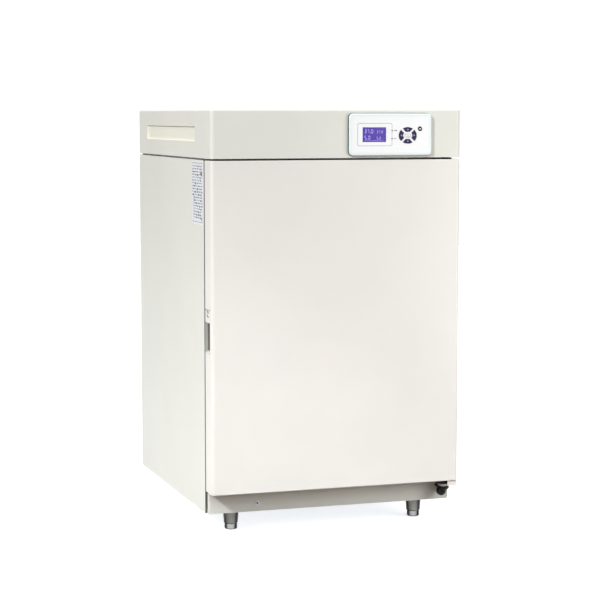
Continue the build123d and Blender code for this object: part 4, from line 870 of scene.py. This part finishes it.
LABEL_WIDTH = 96 * MM
LABEL_HEIGHT = 142 * MM
LABEL_ROUND = 3 * MM
LABEL_FRONT_GAP = 3.5 * MM
LABEL_DROP = 3 * MM
LABEL_MARGIN = 5 * MM
FILM_THICKNESS = 0.12 * MM

# The broken lines of print. Lengths of words are drawn at random, in millimetres.
LINE_PITCH = 6.4 * MM
LINE_INDENT = 12 * MM
INDENTED_FROM = 0.55
WORD_LENGTH = (4, 17)
WORD_HEIGHT = (1.6, 4.2)
WORD_GAP = (2.5, 7)

# The dark print. Shares are of the label's width and height.
RULE = 0.9 * MM
RULE_INSET = 3 * MM
TABLE_INSET = 8 * MM
TABLE_HEIGHT = 0.42
MARK_ACROSS = 0.83
SPOT_DROP = 0.2
SPOT_HALF_WIDTH = 6 * MM
SPOT_HALF_HEIGHT = 2.8 * MM
TICK_HALF_WIDTH = 1 * MM
TICK_FOOT = 4 * MM
TICK_HEAD = 12 * MM
STROKE_DROP = 0.91
STROKE = ((-9 * MM, 3 * MM), (-6 * MM, 4 * MM), (9 * MM, -2 * MM), (6 * MM, -4 * MM))


def label_lines(left, bottom, right, top, place):
    """Rows of grey bars of uneven length and height; the lower rows start further in."""
    chance = random.Random(7)
    mesh = bmesh.new()
    rows = int((top - bottom - 4 * LABEL_MARGIN) / LINE_PITCH)
    for row in range(rows):
        up = top - 2 * LABEL_MARGIN - row * LINE_PITCH
        start = left + LABEL_MARGIN + (LINE_INDENT if row > rows * INDENTED_FROM else 0)
        while start < right - 2 * LABEL_MARGIN:
            length = chance.uniform(*WORD_LENGTH) * MM
            height = chance.uniform(*WORD_HEIGHT) * MM
            end = min(start + length, right - LABEL_MARGIN)
            word = rectangle(start, up - height, end, up)
            prism(mesh, word, place, FILM_THICKNESS, FILM_THICKNESS + PRINT)
            start = end + chance.uniform(*WORD_GAP) * MM
    piece("rating_label_lines", mesh, INK_BLUE_GREY, "cabinet")


def label_rules(left, bottom, right, top, place):
    """The dark print: a rule at the head and the foot, two down the table, a spot with a tick over
    it, and a slanted stroke."""
    outlines = []
    for up in (top - LABEL_MARGIN, bottom + LABEL_MARGIN):
        outlines.append(rectangle(left + RULE_INSET, up, right - RULE_INSET, up + RULE))
    table_top = bottom + (top - bottom) * TABLE_HEIGHT
    for across in (left + LABEL_MARGIN + TABLE_INSET, right - RULE_INSET):
        outlines.append(rectangle(across, bottom + LABEL_MARGIN, across + RULE, table_top))
    across = left + (right - left) * MARK_ACROSS
    spot = top - (top - bottom) * SPOT_DROP
    outlines.append(ellipse(across, spot, SPOT_HALF_WIDTH, SPOT_HALF_HEIGHT, 24))
    tick = rectangle(across - TICK_HALF_WIDTH, spot + TICK_FOOT, across + TICK_HALF_WIDTH, spot + TICK_HEAD)
    outlines.append(tick)
    stroke = top - (top - bottom) * STROKE_DROP
    outlines.append([(across + aside, stroke + rise) for aside, rise in STROKE])
    mesh = bmesh.new()
    for outline in outlines:
        prism(mesh, outline, place, FILM_THICKNESS, FILM_THICKNESS + PRINT)
    piece("rating_label_rules", mesh, DARK_INK_AND_SHADE, "cabinet")


def rating_label():
    """A silver film label with bars in place of its printed lines, near the door's upper corner."""
    low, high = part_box("left_side_panel")
    right = -low.y - LABEL_FRONT_GAP
    left = right - LABEL_WIDTH
    top = high.z - LABEL_DROP
    bottom = top - LABEL_HEIGHT
    place = on_left(low.x)
    film = bmesh.new()
    prism(film, rounded(left, bottom, right, top, LABEL_ROUND), place, 0, FILM_THICKNESS)
    piece("rating_label", film, LABEL_FILM, "cabinet")
    label_lines(left, bottom, right, top, place)
    label_rules(left, bottom, right, top, place)


rating_label()


# ---------------------------------------------------------------- floor, light and camera

FLOOR_RADIUS = 9.0
FLOOR_GLOW = 0.55

# The height on the sky, from -1 at the bottom to 1 at the top, over which its light changes.
SKY_TURN = (-0.1, 0.45)

# The camera's angles are in degrees, its lens and sensor in millimetres, as Blender takes them.
CAMERA_PLACE = (-1.3686, -4.2576, 0.9448)
CAMERA_DOWN = 5.735
CAMERA_TURN = 18.094
CAMERA_LENS = 111.1
CAMERA_SENSOR = 36
CAMERA_REACH = (0.05, 60)


def floor():
    """A pale studio floor, slightly lit from within, that neither lights nor shades the object."""
    finish = Finish("studio_floor", Emission_Color=(1.0, 1.0, 1.0, 1.0), Emission_Strength=FLOOR_GLOW)
    finish.colour(finish.blend(finish.noise(3.0, 3.0), rgb(250, 250, 249), rgb(253, 253, 252)))
    finish.roughness(finish.span(finish.noise(60.0, 3.0), 0.8, 0.95))
    mesh = bmesh.new()
    rim_glow = [mesh.verts.new((x, y, 0)) for x, y in ellipse(0, 0, FLOOR_RADIUS, FLOOR_RADIUS, 96)]
    mesh.faces.new(rim_glow)
    ground = scene_object("studio_floor", mesh, finish.done())
    ground.visible_diffuse = False
    ground.visible_shadow = False


def soft_world(above, below, backdrop):
    """A surround that lights the object in one colour from above the horizon and in another from
    below it. The backdrop is the plain white that the camera sees behind the object."""
    world = bpy.data.worlds.new("studio")
    world.use_nodes = True
    shading = Shading(world.node_tree)
    direction = shading.add("TexCoord").outputs["Generated"]
    height = shading.add("SeparateXYZ", Vector=direction).outputs["Z"]
    surround = shading.blend(shading.span(height, 0.0, 1.0, *SKY_TURN), (*below, 1.0), (*above, 1.0))
    to_camera = shading.add("LightPath").outputs["Is Camera Ray"]
    seen = shading.blend(to_camera, surround, (*backdrop, 1.0))
    shading.feed(shading.nodes["Background"].inputs["Color"], seen)
    bpy.context.scene.world = world


def softbox(name, place, aim, size, power, spread=180):
    """A square area light aimed at a point, its beam narrowed to a spread in degrees."""
    light = bpy.data.lights.new(name, "AREA")
    light.shape = "SQUARE"
    light.size = size
    light.energy = power
    light.spread = math.radians(spread)
    lamp = bpy.data.objects.new(name, light)
    bpy.context.scene.collection.objects.link(lamp)
    lamp.location = place
    direction = Vector(aim) - lamp.location
    lamp.rotation_euler = direction.to_track_quat("-Z", "Y").to_euler()


def studio_camera():
    """The camera stands to the front left, level with the hood, looking a little down."""
    lens = bpy.data.cameras.new("camera")
    lens.lens = CAMERA_LENS
    lens.sensor_width = CAMERA_SENSOR
    lens.clip_start, lens.clip_end = CAMERA_REACH
    camera = bpy.data.objects.new("camera", lens)
    bpy.context.scene.collection.objects.link(camera)
    camera.location = CAMERA_PLACE
    camera.rotation_euler = (math.radians(90 - CAMERA_DOWN), 0, math.radians(-CAMERA_TURN))
    bpy.context.scene.camera = camera


floor()
soft_world(above=(0.82, 0.85, 0.91), below=(0.12, 0.075, 0.055), backdrop=(1.05, 1.05, 1.05))
softbox("key", place=(-5.3, -3.5, 4.3), aim=(0, 0, 0.4), size=0.8, power=408)
softbox("fill", place=(1.3, -1.2, 0.6), aim=(0.3, -0.3, 0.5), size=0.6, power=11)
softbox("side_low", place=(-3.2, -0.4, 0.15), aim=(-0.3, 0.1, 0.1), size=0.3, power=0.05, spread=15)
softbox("door_low", place=(-1.1, -1.7, 2.1), aim=(-0.12, -0.34, 0.05), size=0.3, power=0.36, spread=20)
studio_camera()
bpy.context.scene.view_settings.view_transform = "Standard"
